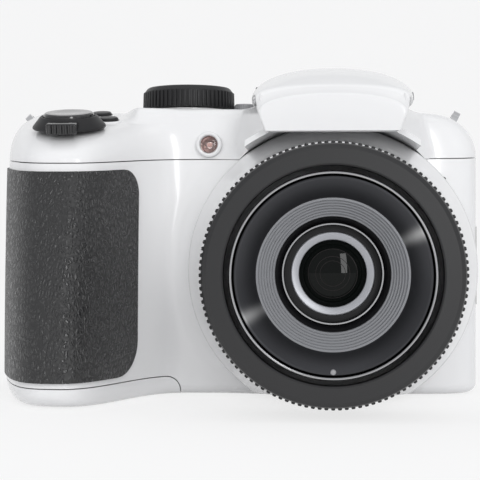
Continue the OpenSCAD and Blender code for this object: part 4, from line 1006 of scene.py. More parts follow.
    def on_top(self, x: float, y: float, tilt: float = 13.0) -> Matrix:
        """Place of a control that leans with the top of the grip.

        Args:
            x: Its X.
            y: Its Y.
            tilt: Its forward lean in degrees.

        Returns:
            The place, with Z along the control's axis.
        """
        return Matrix.Translation(Vector((x, y, self.top_z(x,
            y))) * MM) @ Matrix.Rotation(math.radians(tilt), 4, "X")

    def lens_place(self) -> Matrix:
        """Place of a turned lens part, whose height runs forward along the lens axis."""
        place = Matrix(((1, 0, 0, 0), (0, 0, -1, 0), (0, 1, 0, 0), (0, 0, 0, 1)))
        return Matrix.Translation((0, 0, self.lens_z * MM)) @ place


def facing(x: float, y: float, z: float, way: Sequence[float]) -> Matrix:
    """Place at a point whose Z axis looks a given way.

    Args:
        x: The point's X in millimetres.
        y: The point's Y.
        z: The point's Z.
        way: The direction of the place's Z axis.

    Returns:
        The place.
    """
    turn = Vector(way).to_track_quat("Z", "Y").to_matrix().to_4x4()
    return Matrix.Translation(Vector((x, y, z)) * MM) @ turn


@dataclass
class Covers:
    """Front, rear and top covers with the battery door."""

    bench: Bench
    form: BodyForm
    door_h: float = 4.7
    hinge_z: float = 1.0
    top_wall: float = 1.0
    bush_r: float = 5.5
    screws: tuple[tuple[float, float], ...] = ((-28.0, -5.0), (27.3, -7.0), (13.3, 4.0))
    mic: tuple[float, float] = (28.1, 54.5)
    lamp: tuple[float, float] = (-31.2, 63.4)
    screen: tuple[float, float, float, float] = (-3.7, 33.0, 66.0, 50.0)
    keys: tuple[tuple[float, float, float], ...] = (
        (-57.0, 30.0, 9.7), (-67.0, 13.0, 3.4), (-48.0, 13.0, 3.4), (-48.0, 51.0, 3.4))

    @property
    def hinge_x(self) -> float:
        """X of the door's hinge axis."""
        return self.form.left + self.form.door_len - self.door_round

    @property
    def door_round(self) -> float:
        """Radius of the door's hinge end."""
        return self.door_h - self.form.seam_gap - self.hinge_z

    def door_zone(self, extra: float) -> bmesh.types.BMesh:
        """Space of the battery door.

        Args:
            extra: Distance that the space grows.

        Returns:
            A closed prism along Y.
        """
        f = self.form
        y0, y1 = -70.0, f.joint_y + 0.02
        top = self.door_h - f.seam_gap + extra
        r = self.door_round + extra
        bm = bmesh.new()
        points = [(f.left - 10, -5.0), (self.hinge_x + r, -5.0), (self.hinge_x + r, self.hinge_z)]
        for i in range(1, 13):
            t = math.pi / 2 * i / 12
            points.append((self.hinge_x + r * math.cos(t), self.hinge_z + (top - self.hinge_z) * math.sin(t)))
        points.append((f.left - 10, top))
        face = bm.faces.new([bm.verts.new((x * MM, y0 * MM, z * MM)) for x, z in points])
        pushed = bmesh.ops.extrude_face_region(bm, geom=[face])
        moved = [g for g in pushed["geom"] if isinstance(g, bmesh.types.BMVert)]
        bmesh.ops.translate(bm, vec=(0, (y1 - y0) * MM, 0), verts=moved)
        bmesh.ops.recalc_face_normals(bm, faces=bm.faces)
        return bm

    def low_shell(self, half: Shell, cols: int, rows: int) -> bpy.types.Object:
        """Thick shell of one half of the lower body.

        Args:
            half: Front or rear.
            cols: Faces along the plan.
            rows: Faces from the base to the seam.

        Returns:
            The shell.
        """
        look = Vector((0, -1 if half is Shell.FRONT else 1, 0))
        bm = self.bench.sheet(cols, rows, self.form.low_rule(half), look)
        obj = self.bench.solid(half.value, bm)
        self.bench.thicken(obj, self.form.wall)
        return obj

    def collar(self) -> bmesh.types.BMesh:
        """Tapered collar round the lens."""
        f = self.form
        full, end, neck = 22.0, 46.9, 30.34
        profile = [(27.95, 12.8), (f.collar_r, 12.8), (f.collar_r, full)]
        for i in range(1, 24):
            t = i / 24
            profile.append((neck + (f.collar_r - neck) * (1 - t) ** 2, full + (end - full) * t))
        profile += [(neck, end - 0.4), (neck - 0.4, end), (27.95, end)]
        bm = self.bench.turned(profile, f.lens_place(), 160)
        cut = bmesh.ops.bisect_plane(
            bm, geom=list(bm.verts) + list(bm.edges) + list(bm.faces), plane_co=(0, 0, f.collar_low * MM),
            plane_no=(0, 0, -1), clear_outer=True)
        rim = [g for g in cut["geom_cut"] if isinstance(g, bmesh.types.BMEdge)]
        bmesh.ops.holes_fill(bm, edges=rim, sides=0)
        bmesh.ops.recalc_face_normals(bm, faces=bm.faces)
        return bm

    def front_tools(self) -> bmesh.types.BMesh:
        """Bores and pockets of the front cover."""
        f, b = self.form, self.bench
        parts = [
            b.rod(27.95, Vector((0, 0, f.lens_z)), Vector((0, -24, f.lens_z)), 128),
            b.rod(self.bush_r + 0.05, Vector((0, 0, -1)), Vector((0, 0, 5)), 48),
            b.rod(0.6, Vector((self.mic[0], -30, self.mic[1])), Vector((self.mic[0], -10, self.mic[1])),
            24),
            b.soften(b.block((35.9, -7.7, 22.4), (42, 5.4, 42.8)), 0.8, 3),
        ]
        for x, y in self.screws:
            parts.append(b.rod(1.82, Vector((x, y, -1)), Vector((x, y, 1)), 32))
        return b.gather(*parts)

    def build(self) -> None:
        """Makes the covers and the door."""
        f, b = self.form, self.bench
        front = self.low_shell(Shell.FRONT, 220, 110)
        door = front.copy()
        door.data = front.data.copy()
        bpy.context.scene.collection.objects.link(door)
        b.work(door, self.door_zone(0.0), Op.KEEP)
        b.work(front, b.gather(self.door_zone(f.seam_gap), self.front_tools()), Op.CUT)
        b.piece("front_shell", b.gather(b.taken(front), self.collar()), "body", WHITE, ["front_cover"])
        self.battery_door(door)
        rear = self.low_shell(Shell.REAR, 140, 60)
        b.work(rear, self.rear_tools(), Op.CUT)
        b.piece("rear_shell", b.taken(rear), "body", WHITE, ["rear_cover"])
        self.top()

    def battery_door(self, door: bpy.types.Object) -> None:
        """Finishes the battery door and its latch.

        Args:
            door: The part of the front shell under the seam.
        """
        b = self.bench
        x, y = self.form.left + 17, -14.0
        b.work(door, b.soften(b.block((x - 4.2, y - 2.9, -1), (x + 7.2, y + 2.9, 0.95)), 0.3, 2), Op.CUT)
        for y0, y1 in ((-10.3, -8.7), (3.7, 5.3)):
            b.work(door, b.rod(4.15, Vector((self.hinge_x, y0, 1)), Vector((self.hinge_x, y1, 1)), 32),
                Op.CUT)
        b.piece("battery_cover", b.taken(door), "door", WHITE, ["battery_door"])
        slide = b.soften(b.block((x - 4, y - 2.7, 0.05), (x + 4, y + 2.7, 0.8)), 0.2, 2)
        ribs = [b.soften(b.block((x + d - 0.35, y - 2.0, -0.25), (x + d + 0.35, y + 2.0, 0.3)), 0.15,
            2) for d in (-2, 0, 2)]
        under = b.block((x - 1.5, y - 1.2, 0.3), (x + 1.5, y + 1.2, 2.2))
        tongue = b.block((x - 3.4, y - 2.4, 2.1), (x + 2.4, y + 2.4, 3.1))
        b.piece("latch_slide", b.gather(slide, under, tongue, *ribs), "latch", BLACK, ["battery_latch"])

    def rear_tools(self) -> bmesh.types.BMesh:
        """Openings of the rear cover."""
        b = self.bench
        x, z, w, h = self.screen
        hole = b.block((x - w / 2, 8, z - h / 2), (x + w / 2, 20, z + h / 2))
        upright = [e for e in hole.edges if abs((e.verts[0].co - e.verts[1].co).y) > 1e-4]
        bmesh.ops.bevel(
            hole, geom=upright, offset=2.2 * MM, segments=6, profile=0.5, affect="EDGES", material=-1,
            offset_type="OFFSET")
        parts = [hole]
        for kx, kz, r in self.keys:
            parts.append(b.rod(r, Vector((kx, 8, kz)), Vector((kx, 20, kz)), 64))
        return b.gather(*parts)

    def top(self) -> None:
        """Makes the top cover with its canopy."""
        f, b = self.form, self.bench
        up = Vector((0, 0, 1))
        front = b.sheet(220, 60, f.top_rule(Shell.FRONT), up)
        bm = b.gather(front, b.sheet(220, 60, f.top_rule(Shell.REAR), up))
        bmesh.ops.remove_doubles(bm, verts=bm.verts, dist=4e-6)
        bmesh.ops.dissolve_degenerate(bm, edges=bm.edges, dist=1e-6)
        obj = b.solid("top", bm)
        b.thicken(obj, self.top_wall, False)
        tools = [
            b.rod(f.collar_r + 0.4, Vector((0, -5, f.lens_z)), Vector((0, -80, f.lens_z)), 192),
            b.block((-15.2, -12, 66), (15.2, 9.3, 78)),
            b.rod(2.8, Vector((-22.8, -3, 66)), Vector((-22.8, -3, 78)), 48),
            b.rod(3.3, Vector((self.lamp[0], -24, self.lamp[1])),
            Vector((self.lamp[0], -8, self.lamp[1])), 48),
        ]
        for x, y in ((-60.5, -3.5), (-57.5, -11.9)):
            place = f.on_top(x, y)
            tools.append(b.rod(2.8, place @ Vector((0, 0, -0.006)) / MM,
                place @ Vector((0, 0, 0.006)) / MM, 48))
        b.work(obj, b.gather(*tools), Op.CUT)
        bm = b.taken(obj)
        liner = b.turned(
            [(f.collar_r + 0.4, 14), (f.collar_r + 1.6, 14), (f.collar_r + 1.6, 38.5),
            (f.collar_r + 0.4, 38.5)],
            f.lens_place(), 192)
        for normal, x in (((-1, 0, 0), -20.8), ((1, 0, 0), 20.8)):
            bmesh.ops.bisect_plane(
                liner, geom=list(liner.verts) + list(liner.edges) + list(liner.faces),
                plane_co=(x * MM, 0, 0),
                plane_no=normal, clear_outer=True)
        bmesh.ops.bisect_plane(
            liner, geom=list(liner.verts) + list(liner.edges) + list(liner.faces),
            plane_co=(0, 0, f.lens_z * MM),
            plane_no=(0, 0, -1), clear_outer=True)
        b.piece("top_shell", b.gather(bm, liner), "body", WHITE, ["top_cover"])
        plinth = b.turned([(0, 71.4), (10.6, 71.4), (10.6, 73.18), (10.2, 73.38), (0, 73.38)],
            facing(-37.7, -1, 0, (0, 0, 1)), 96, False)
        b.piece("dial_plinth", plinth, "body", WHITE)
        seats = []
        for x, y in ((-60.5, -3.5), (-57.5, -11.9)):
            seats.append(b.turned([(2.85, -1), (3.8, -1), (3.8, 0.05), (3.5, 0.3), (2.85, 0.3)],
                f.on_top(x, y), 64))
        b.piece("key_seats", b.gather(*seats), "body", WHITE)


@dataclass
class Grip:
    """Leather-grained pad over the grip."""

    bench: Bench
    form: BodyForm
    low: float = 6.0
    drop: float = 1.9
    reach: float = 18.6
    thick: float = 0.9
    seat: float = 0.45

    def edge(self, t: float) -> float:
        """Station of the pad's inner edge, with its rounded corners."""
        f = self.form
        low = clamp01(1 - t / 0.17)
        high = clamp01(1 - (1 - t) / 0.13)
        cut = 3.6 * (1 - math.sqrt(1 - low * low)) + 3 * (1 - math.sqrt(1 - high * high))
        return (f.grip_x + self.reach - cut - f.mid) / f.half

    def build(self) -> None:
        """Makes the pad."""
        f, b = self.form, self.bench
        start = -1 + (1 - f.corner) * 0.16

        def rule(a: float, t: float) -> tuple[float, float, float]:
            """Point of the pad's face."""
            t = smooth(t) * 0.5 + t * 0.5
            u = f.unit(lerp(start, self.edge(t), a))
            return f.low_point(u, self.low + (f.seam_z - self.drop - self.low) * t,
                -self.thick - self.seat, Shell.FRONT)

        obj = b.solid("pad", b.sheet(150, 120, rule, Vector((0, -1, 0))))
        b.thicken(obj, self.thick)
        bm = b.soften(b.taken(obj), 0.38, 3, 50)
        b.piece("grip_cover", bm, "body", LEATHER, ["grip_pad"])


@dataclass
class Lens:
    """Lens ring, barrels, nose and glass."""

    bench: Bench
    form: BodyForm
    ring_f: float = 69.0
    ring_l: float = 22.0
    ring_r: float = 29.24
    ridge_h: float = 0.5
    ridges: int = 124
    bore_r: float = 23.86
    barrel_r: float = 22.6
    nose_r: float = 21.55
    glass_r: float = 7.7
    steps: int = 7

    def spun(self, profile: Profile, width: float = 0.0, turns: int = 160,
            closed: bool = True) -> bmesh.types.BMesh:
        """Turned lens part with softened edges.

        Args:
            profile: Radius and distance ahead of the tripod axis.
            width: Bevel width of sharp edges.
            turns: Steps round the turn.
            closed: Whether the profile joins its ends.

        Returns:
            The part.
        """
        bm = self.bench.turned(profile, self.form.lens_place(), turns, closed)
        return self.bench.soften(bm, width, 2, 30) if width > 0 else bm

    def build(self) -> None:
        """Makes all the lens parts."""
        self.ring()
        self.barrels()
        self.nose()
        self.glass()

    def ring(self) -> None:
        """Knurled ring with its plain front face."""
        f0, back = self.ring_f, self.ring_f - self.ring_l
        root = self.ring_r - self.ridge_h
        body = self.spun([
            (self.bore_r, f0 - 4), (self.bore_r, f0 - 0.35), (self.bore_r + 0.35, f0),
            (root - 1.25, f0 - 0.1),
            (root - 0.35, f0 - 0.75), (root, f0 - 1.8), (root, back + 0.3), (root - 0.3, back),
            (27.8, back), (26.8, back + 1),
            (26.8, f0 - 7)], 0.0, 248)
        pitch = 2 * math.pi * root / self.ridges
        b = self.bench
        ridge = b.block((root - 0.3, -pitch * 0.31, back + 4), (self.ring_r, pitch * 0.31, f0 - 2.2))
        b.soften(ridge, 0.26, 2)
        ridges = b.around(ridge, self.ridges, self.form.lens_place())
        b.piece("knurled_ring", b.gather(body, ridges), "body", RING, ["lens_ring"], 32)

    def barrels(self) -> None:
        """Sliding barrel with its bright rim, and the front barrel."""
        f0 = self.ring_f - 0.1
        r = self.barrel_r
        b = self.bench
        tube = self.spun([
            (r - 0.75, f0 - 47), (r, f0 - 47), (r, f0 - 0.5), (r - 0.2, f0 - 0.08), (r - 0.38, f0),
            (r - 0.6, f0 - 0.1),
            (r - 0.75, f0 - 0.4)], 0.0, 192)
        b.piece("rim_barrel", tube, "barrel", RIM, ["sliding_barrel"])
        inner = self.spun([(20.35, 23.9), (21.55, 23.9), (21.55, 66.77), (21.45, 66.87), (20.35, 66.87)],
            0.0, 160)
        b.piece("nose_barrel", inner, "nose", BLACK, ["front_barrel"])

    def nose(self) -> None:
        """Dark turned cone, stepped grey ring and inner bezel."""
        b, n = self.bench, 68.5
        cone = self.spun([
            (20.3, n - 8), (20.3, n - 1.58), (self.nose_r, n - 1.58), (self.nose_r, n - 0.45),
            (self.nose_r - 0.12, n - 0.12),
            (self.nose_r - 0.4, n), (self.nose_r - 0.75, n - 0.18), (17.25, n - 5.35), (17.0, n - 5.6),
            (17.0, n - 8)], 0.0, 192)
        b.piece("turned_cone", cone, "nose", NOSE, ["nose_cone"], 30)
        pin = b.turned([(0, -0.9), (0.62, -0.9), (0.62, 0.05), (0.45, 0.2), (0, 0.22)],
            self.form.lens_place() @ Matrix.Translation(
            Vector((0, -self.nose_r + 0.75, n)) * MM), 32, False)
        b.piece("index_pin", pin, "nose", GREY_PART)
        f0, outer, inner, deep = n - 5.7, 16.95, 12.95, 6.0
        dr, df = (outer - inner) / self.steps, deep / self.steps
        profile: list[tuple[float, float]] = []
        for i in range(self.steps):
            r0, r1, f1 = outer - dr * i, outer - dr * (i + 1), f0 - df * i
            profile += [(r0, f1), (r1 + 0.1, f1), (r1, f1 - 0.12)]
        profile += [(inner, f0 - deep - 1), (outer, f0 - deep - 1)]
        b.piece("stepped_ring", self.spun(profile, 0.0, 192), "nose", STEP_GREY, ["ribbed_baffle"], 25)
        bezel = self.spun([
            (15.5, 55.75), (13.4, 55.75), (13.0, 56.2), (12.2, 54.6), (11.7, 53.8), (11.55, 54.15),
            (11.35, 54.35),
            (11.1, 54.3), (10.95, 54.0), (10.9, 51.4), (9.6, 51.4), (9.6, 46.6), (15.5, 46.6)], 0.0, 192)
        b.piece("inner_cone", bezel, "nose", INNER_BLACK, ["inner_bezel"], 25)
        line = self.spun([(11.55, 54.2), (11.42, 54.42), (11.12, 54.42), (11.0, 54.2)], 0.0, 192)
        b.piece("bright_line", line, "nose", RIM)

    def glass(self) -> None:
        """Retainer, front glass and the dark rings behind it."""
        b, g, f0 = self.bench, self.glass_r, 50.6
        keep = self.spun([
            (g, f0 - 0.25), (g + 0.12, f0), (g + 1.35, f0 + 0.55), (g + 1.6, f0 + 0.55),
            (g + 1.85, f0 + 0.25),
            (g + 1.85, f0 - 1.2), (g, f0 - 1.2)], 0.0, 160)
        b.piece("grey_retainer", keep, "nose", RETAINER, ["glass_retainer"], 25)
        dome = 16.0
        sag = dome - math.sqrt(dome * dome - g * g)
        apex = f0 - 1.3 + sag
        face = []
        for i in range(21):
            r = 9.5 * i / 20
            face.append((r, apex - dome + math.sqrt(dome * dome - r * r)))
        b.piece("front_element", self.spun(face + [(9.5, 46.4), (0, 46.4)], 0.0, 128, False), "nose",
            LENS, ["front_glass"])
        stops = []
        for r in (2.9, 3.9, 5.6):
            z = apex - dome + math.sqrt(dome * dome - r * r)
            stops.append(self.spun([(r - 0.06, z - 0.1), (r - 0.06, z + 0.02), (r + 0.06, z + 0.01),
                (r + 0.06, z - 0.1)], 0.0, 96))
        b.piece("inner_stops", b.gather(*stops), "nose", STOP)


@dataclass
class Flash:
    """Pop-up flash head with its brow."""

    bench: Bench
    form: BodyForm
    base: float = 72.785
    arch: float = 2.3
    wall: float = 1.6

    def sections(self) -> list[tuple[float, ...]]:
        """Sections from the brow to the hinge: y, foot half width, foot z, half width, waist z, top z, lean."""
        z = self.base
        return [
            (-43.6, 15.5, 64.7, 17.0, 68.8, 73.2, 0.13), (-43.35, 15.7, 64.7, 17.3, 68.9, 73.55, 0.13),
            (-42.8, 15.9, 64.8, 17.5, 69.1, 73.9, 0.12), (-41.6, 16.4, 66.7, 17.8, 70.0, 74.5, 0.08),
            (-40.2, 17.0, 69.7, 18.0, 71.3, 75.3, 0.04), (-38.4, 17.9, z, 18.3, z + 0.4, 76.4, 0.01),
            (-32.6, 19.25, z, 19.3, z + 0.4, 79.1, 0.0), (-25.6, 19.65, z, 19.7, z + 0.4, 81.15, 0.0),
            (-17.6, 19.65, z, 19.7, z + 0.4, 82.0, 0.0), (-8.6, 18.75, z, 18.8, z + 0.4, 81.55, 0.0),
            (0.0, 16.45, z, 16.5, z + 0.4, 79.8, 0.0), (4.0, 14.05, z, 14.1, z + 0.4, 78.2, 0.0),
            (6.6, 13.65, z, 13.7, z + 0.4, 76.4, 0.0), (8.7, 13.3, z, 13.35, z + 0.3, 73.3, 0.0),
        ]

    def section(self, t: float) -> tuple[float, ...]:
        """Smoothly blended cross section.

        Args:
            t: 0 at the brow's face and 1 at the rear end.

        Returns:
            The section's sizes.
        """
        rows = self.sections()
        at = t * (len(rows) - 1)
        i = min(int(at), len(rows) - 2)
        u = at - i
        p0, p1, p2, p3 = rows[max(0, i - 1)], rows[i], rows[i + 1], rows[min(len(rows) - 1, i + 2)]
        return tuple(
            b + 0.5 * (c - a) * u + (a - 2.5 * b + 2 * c - 0.5 * d) * u * u
            + 0.5 * (3 * b - a - 3 * c + d) * u ** 3
            for a, b, c, d in zip(p0, p1, p2, p3))

    def outline(self, a: float, row: tuple[float, ...]) -> tuple[float, float]:
        """Point of a cross section.

        Args:
            a: 0 at the left foot and 1 at the right foot.
            row: The section's sizes.

        Returns:
            X and Z.
        """
        _, foot, z0, half, waist, top, _ = row
        leg = 0.08
        if a < leg:
            t = a / leg
            return -lerp(foot, half, t), lerp(z0, waist, t)
        if a > 1 - leg:
            t = (1 - a) / leg
            return lerp(foot, half, t), lerp(z0, waist, t)
        t = math.pi * (1 - (a - leg) / (1 - 2 * leg))
        c, s = math.cos(t), math.sin(t)
        x = half * math.copysign(abs(c) ** (2 / self.arch), c)
        return x, waist + (top - waist) * max(0.0, s) ** (2 / self.arch)

    def rule(self, a: float, b: float) -> tuple[float, float, float]:
        """Point of the flash head's outer face."""
        face = 0.16
        if b < face:
            row = self.section(0.0)
            x, z = self.outline(a, row)
            q = b / face
            x, z = x * q, row[2] + (z - row[2]) * q
        else:
            row = self.section((b - face) / (1 - face))
            x, z = self.outline(a, row)
        return x, row[0] + row[6] * (z - 64.7), z

    def build(self) -> None:
        """Makes the head and what shows under it."""
        b = self.bench
        obj = b.solid("head", b.sheet(120, 130, self.rule, Vector((0, -0.2, 1))))
        b.thicken(obj, self.wall)
        b.piece("flash_dome", b.taken(obj), "flash", WHITE, ["flash_head"])
        self.lugs()
        self.vents()
        self.underside()

    def lugs(self) -> None:
        """Hinge lugs under the head."""
        b = self.bench
        parts = []
        for x in (-12.4, 11.0):
            eye = b.rod(2.2, Vector((x, 4, self.base)), Vector((x + 1.4, 4, self.base)), 40)
            leg = b.block((x, 1.8, self.base), (x + 1.4, 5.2, self.base + 3.6))
            parts += [eye, leg]
        b.piece("hinge_lugs", b.gather(*parts), "flash", WHITE)

    def side_x(self, y: float, z: float) -> float:
        """Half width of the head at a height on its flank."""
        rows = self.sections()
        for r0, r1 in zip(rows, rows[1:]):
            if r0[0] <= y <= r1[0]:
                t = (y - r0[0]) / (r1[0] - r0[0])
                half, top = lerp(r0[3], r1[3], t), lerp(r0[5], r1[5], t)
                s = clamp01((z - self.base - 0.4) / (top - self.base - 0.4)) ** self.arch
                return half * max(0.0, 1 - s) ** (1 / self.arch)
        return rows[0][3]

    def vents(self) -> None:
        """Speaker holes on the left flank and a release button on the right flank."""
        b = self.bench
        holes = []
        for row, z in enumerate((73.6, 74.9, 76.2)):
            for i in range(4):
                y = -27.0 + 1.7 * i + 0.85 * (row % 2)
                x = -self.side_x(y, z)
                holes.append(b.rod(0.42, Vector((x - 0.04, y, z)), Vector((x + 0.8, y, z)), 16))
        b.piece("speaker_holes", b.gather(*holes), "flash", INNER_BLACK)
        x = self.side_x(-27.0, 74.2)
        press = b.turned([(0, 0.1), (0.9, 0.25), (1.05, 0.1), (1.05, -0.8), (0, -0.8)],
            facing(x, -27.0, 74.2, (1, 0, 0.1)), 40, False)
        b.piece("release_dot", press, "flash", GREY_PART)

    def underside(self) -> None:
        """Ribbed window that shows when the head is up."""
        b, z, y0 = self.bench, self.base, -25.6
        pane = b.soften(b.block((-12.5, y0 - 4.5, z + 0.3), (12.5, y0 + 4.5, z + 1.7)), 0.15, 2)
        ribs = [
            b.soften(b.block((-12.2, y0 - 4.2 + i * 0.6, z + 0.15), (12.2, y0 - 3.8 + i * 0.6, z + 0.4)),
            0.1, 1)
            for i in range(14)]
        b.piece("head_window", b.gather(pane, *ribs), "flash", CLEAR, ["flash_window"])


@dataclass
class Controls:
    """Shutter, zoom lever, mode dial and the other top buttons."""

    bench: Bench
    form: BodyForm
    shutter: tuple[float, float] = (-65.5, -23.5)
    lever_r: float = 9.1
    shutter_r: float = 6.3
    dial: tuple[float, float] = (-37.7, -1.0)
    dial_r: float = 12.1
    dial_h: float = 5.7
    dial_base: float = 73.46
    dial_ribs: int = 60
    marks: int = 8

    def build(self) -> None:
        """Makes every top control."""
        self.lever()
        self.mode_dial()
        self.buttons()

    def lever(self) -> None:
        """Shutter button and the zoom lever round it."""
        b, place = self.bench, self.form.on_top(*self.shutter)
        r, s = self.lever_r, self.shutter_r
        skirt = b.turned([
            (3.46, 0.4), (r - 0.15, 0.4), (r, 0.55), (r, 0.85), (r - 0.12, 1.05), (s + 0.95, 3.2),
            (s + 0.7, 3.4),
            (s + 0.4, 3.42), (s + 0.2, 3.25), (s + 0.2, 1.6), (3.46, 1.6)], place, 128)
        tab = b.soften(b.block((-3.7, -r - 2.4, 0.4), (3.7, -s - 0.6, 3.0), place), 0.45, 3)
        ribs = []
        for i in range(5):
            x = -2.6 + 1.3 * i
            rib = b.rod(0.42, Vector((x, -r - 2.45, 0.6)), Vector((x, -r - 2.45, 2.75)), 16)
            bmesh.ops.transform(rib, matrix=place, verts=rib.verts)
            ribs.append(rib)
        b.piece("zoom_collar", skirt, "lever", BLACK, ["zoom_lever"], 30)
        b.piece("lever_ribs", b.gather(tab, *ribs), "lever", GLOSS_BLACK)
        cap = b.turned([
            (0, 4.15), (s * 0.5, 4.2), (s - 1.6, 4.35), (s - 0.5, 4.25), (s - 0.12, 3.95), (s, 3.6),
            (s, 2.8), (2.1, 2.8), (2.1, -5),
            (0, -5)], place, 96, False)
        b.piece("shutter_cap", cap, "shutter", GLOSS_BLACK, ["shutter_button"], 30)

    def mode_dial(self) -> None:
        """Ribbed dial with plain numbers on its top."""
        b, r, h = self.bench, self.dial_r, self.dial_h
        place = facing(self.dial[0], self.dial[1], self.dial_base, (0, 0, 1))
        drum = b.turned([
            (0, -5), (3.4, -5), (3.4, 0), (r - 0.5, 0), (r - 0.42, 0.1), (r - 0.42, h - 1.25),
            (r - 1.1, h - 0.35), (r - 1.5, h - 0.08),
            (r - 2.0, h), (r - 2.3, h - 0.12), (0, h - 0.15)], place, 120, False)
        pitch = 2 * math.pi * r / self.dial_ribs
        rib = b.block((r - 0.8, -pitch * 0.3, 0.15), (r, pitch * 0.3, h - 1.35))
        for v in rib.verts:
            if v.co.z > (h - 2) * MM:
                v.co.x -= 0.12 * MM
        b.soften(rib, 0.16, 2)
        b.piece("ribbed_dial", b.gather(drum, b.around(rib, self.dial_ribs, place)), "dial", BLACK,
            ["mode_dial"], 32)
        b.piece("dial_marks", self.numbers(place), "dial", MARK)

    def numbers(self, place: Matrix) -> bmesh.types.BMesh:
        """Plain numbers and ticks on the dial's top.

        Args:
            place: Where the dial is.

        Returns:
            The marks.
        """
        b, top = self.bench, self.dial_h - 0.15
        whole = bmesh.new()
        for i in range(self.marks):
            curve = bpy.data.curves.new("mark", "FONT")
            curve.body = str(i + 1)
            curve.size = 3.4 * MM
            curve.extrude = 0.03 * MM
            curve.align_x, curve.align_y = "CENTER", "CENTER"
            text = bpy.data.objects.new("mark", curve)
            bpy.context.scene.collection.objects.link(text)
            seen = bpy.context.evaluated_depsgraph_get()
            mesh = bpy.data.meshes.new_from_object(text.evaluated_get(seen))
            turn = Matrix.Rotation(-2 * math.pi * i / self.marks, 4, "Z")
            mesh.transform(place @ turn @ Matrix.Translation(Vector((0, self.dial_r - 4.6,
                top + 0.03)) * MM))
            whole.from_mesh(mesh)
            bpy.data.objects.remove(text)
            bpy.data.curves.remove(curve)
            bpy.data.meshes.remove(mesh)
        tick = b.block((-0.12, 2.4, top), (0.12, 4.6, top + 0.06))
        return b.gather(whole, b.around(tick, self.marks, place))

    def buttons(self) -> None:
        """Power, drive and exposure buttons."""
        b, f = self.bench, self.form
        deck = f.deck_at(-22.8)
        knob = b.turned([(0, -3.1), (3.3, -3.1), (3.3, -2.1), (2.6, -2.1), (2.6, 1.8), (2.35, 2.1),
            (0, 2.02)], facing(
            -22.8, -3, deck, (0, 0, 1)), 64, False)
        rib = b.soften(b.block((2.45, -0.14, 0.2), (2.68, 0.14, 1.75)), 0.05, 1)
        knurl = b.around(rib, 28, facing(-22.8, -3, deck, (0, 0, 1)))
        b.piece("power_knob", b.gather(knob, knurl), "power", GREY_PART, ["power_button"], 30)
        for name, x, y, body, node in (
            ("drive_cap", -60.5, -3.5, "drive", "drive_button"), ("exposure_cap", -57.5, -11.9,
            "exposure", "exposure_button")):
            cap = b.turned([(0, -4.6), (3.3, -4.6), (3.3, -3.8), (2.6, -3.8), (2.6, 0.7), (2.3, 1.05),
                (0, 1.15)], f.on_top(x, y), 64, False)
            b.piece(name, cap, body, BLACK, [node], 30)


@dataclass
class FrontDetails:
    """Focus lamp and microphone."""

    bench: Bench
    form: BodyForm
    lamp: tuple[float, float] = (-31.2, 63.4)
    mic: tuple[float, float] = (28.1, 54.5)

    def build(self) -> None:
        """Makes the small parts of the front."""
        b, f = self.bench, self.form
        x, z = self.lamp
        place = facing(x, -f.front_depth, z, (0, -1, 0))
        bezel = b.turned([
            (2.2, -4), (2.5, -4), (2.5, -1.25), (3.25, -1.25), (3.25, 1.2), (3.05, 1.55), (2.75, 1.7),
            (2.45, 1.6), (2.2, 1.1)], place, 96)
        b.piece("lamp_collar", bezel, "body", WHITE, ["lamp_bezel"], 40)
        dome = [(2.15 * i / 10, 0.35 + 0.45 * math.sqrt(1 - (i / 10) ** 2)) for i in range(11)]
        b.piece("lamp_dome", b.turned(dome + [(2.15, -0.6), (0, -0.6)], place, 64, False), "body", LAMP,
            ["focus_lamp"])
        cup = b.turned([(0, -2.4), (0.7, -2.4), (1.4, -1.6), (2.1, -0.7), (2.15, -0.7), (2.15, -3.4),
            (0, -3.4)], place, 64, False)
        b.piece("lamp_cup", cup, "body", BRIGHT)
        chip = b.soften(b.block((-0.6, -0.45, -2.4), (0.6, 0.45, -1.7), place), 0.12, 2)
        b.piece("lamp_chip", chip, "body", LAMP_DIE)
        hole = b.rod(0.6, Vector((self.mic[0], -14.2, self.mic[1])),
            Vector((self.mic[0], -13.4, self.mic[1])), 24)
        b.piece("mic_mesh", hole, "body", INNER_BLACK)


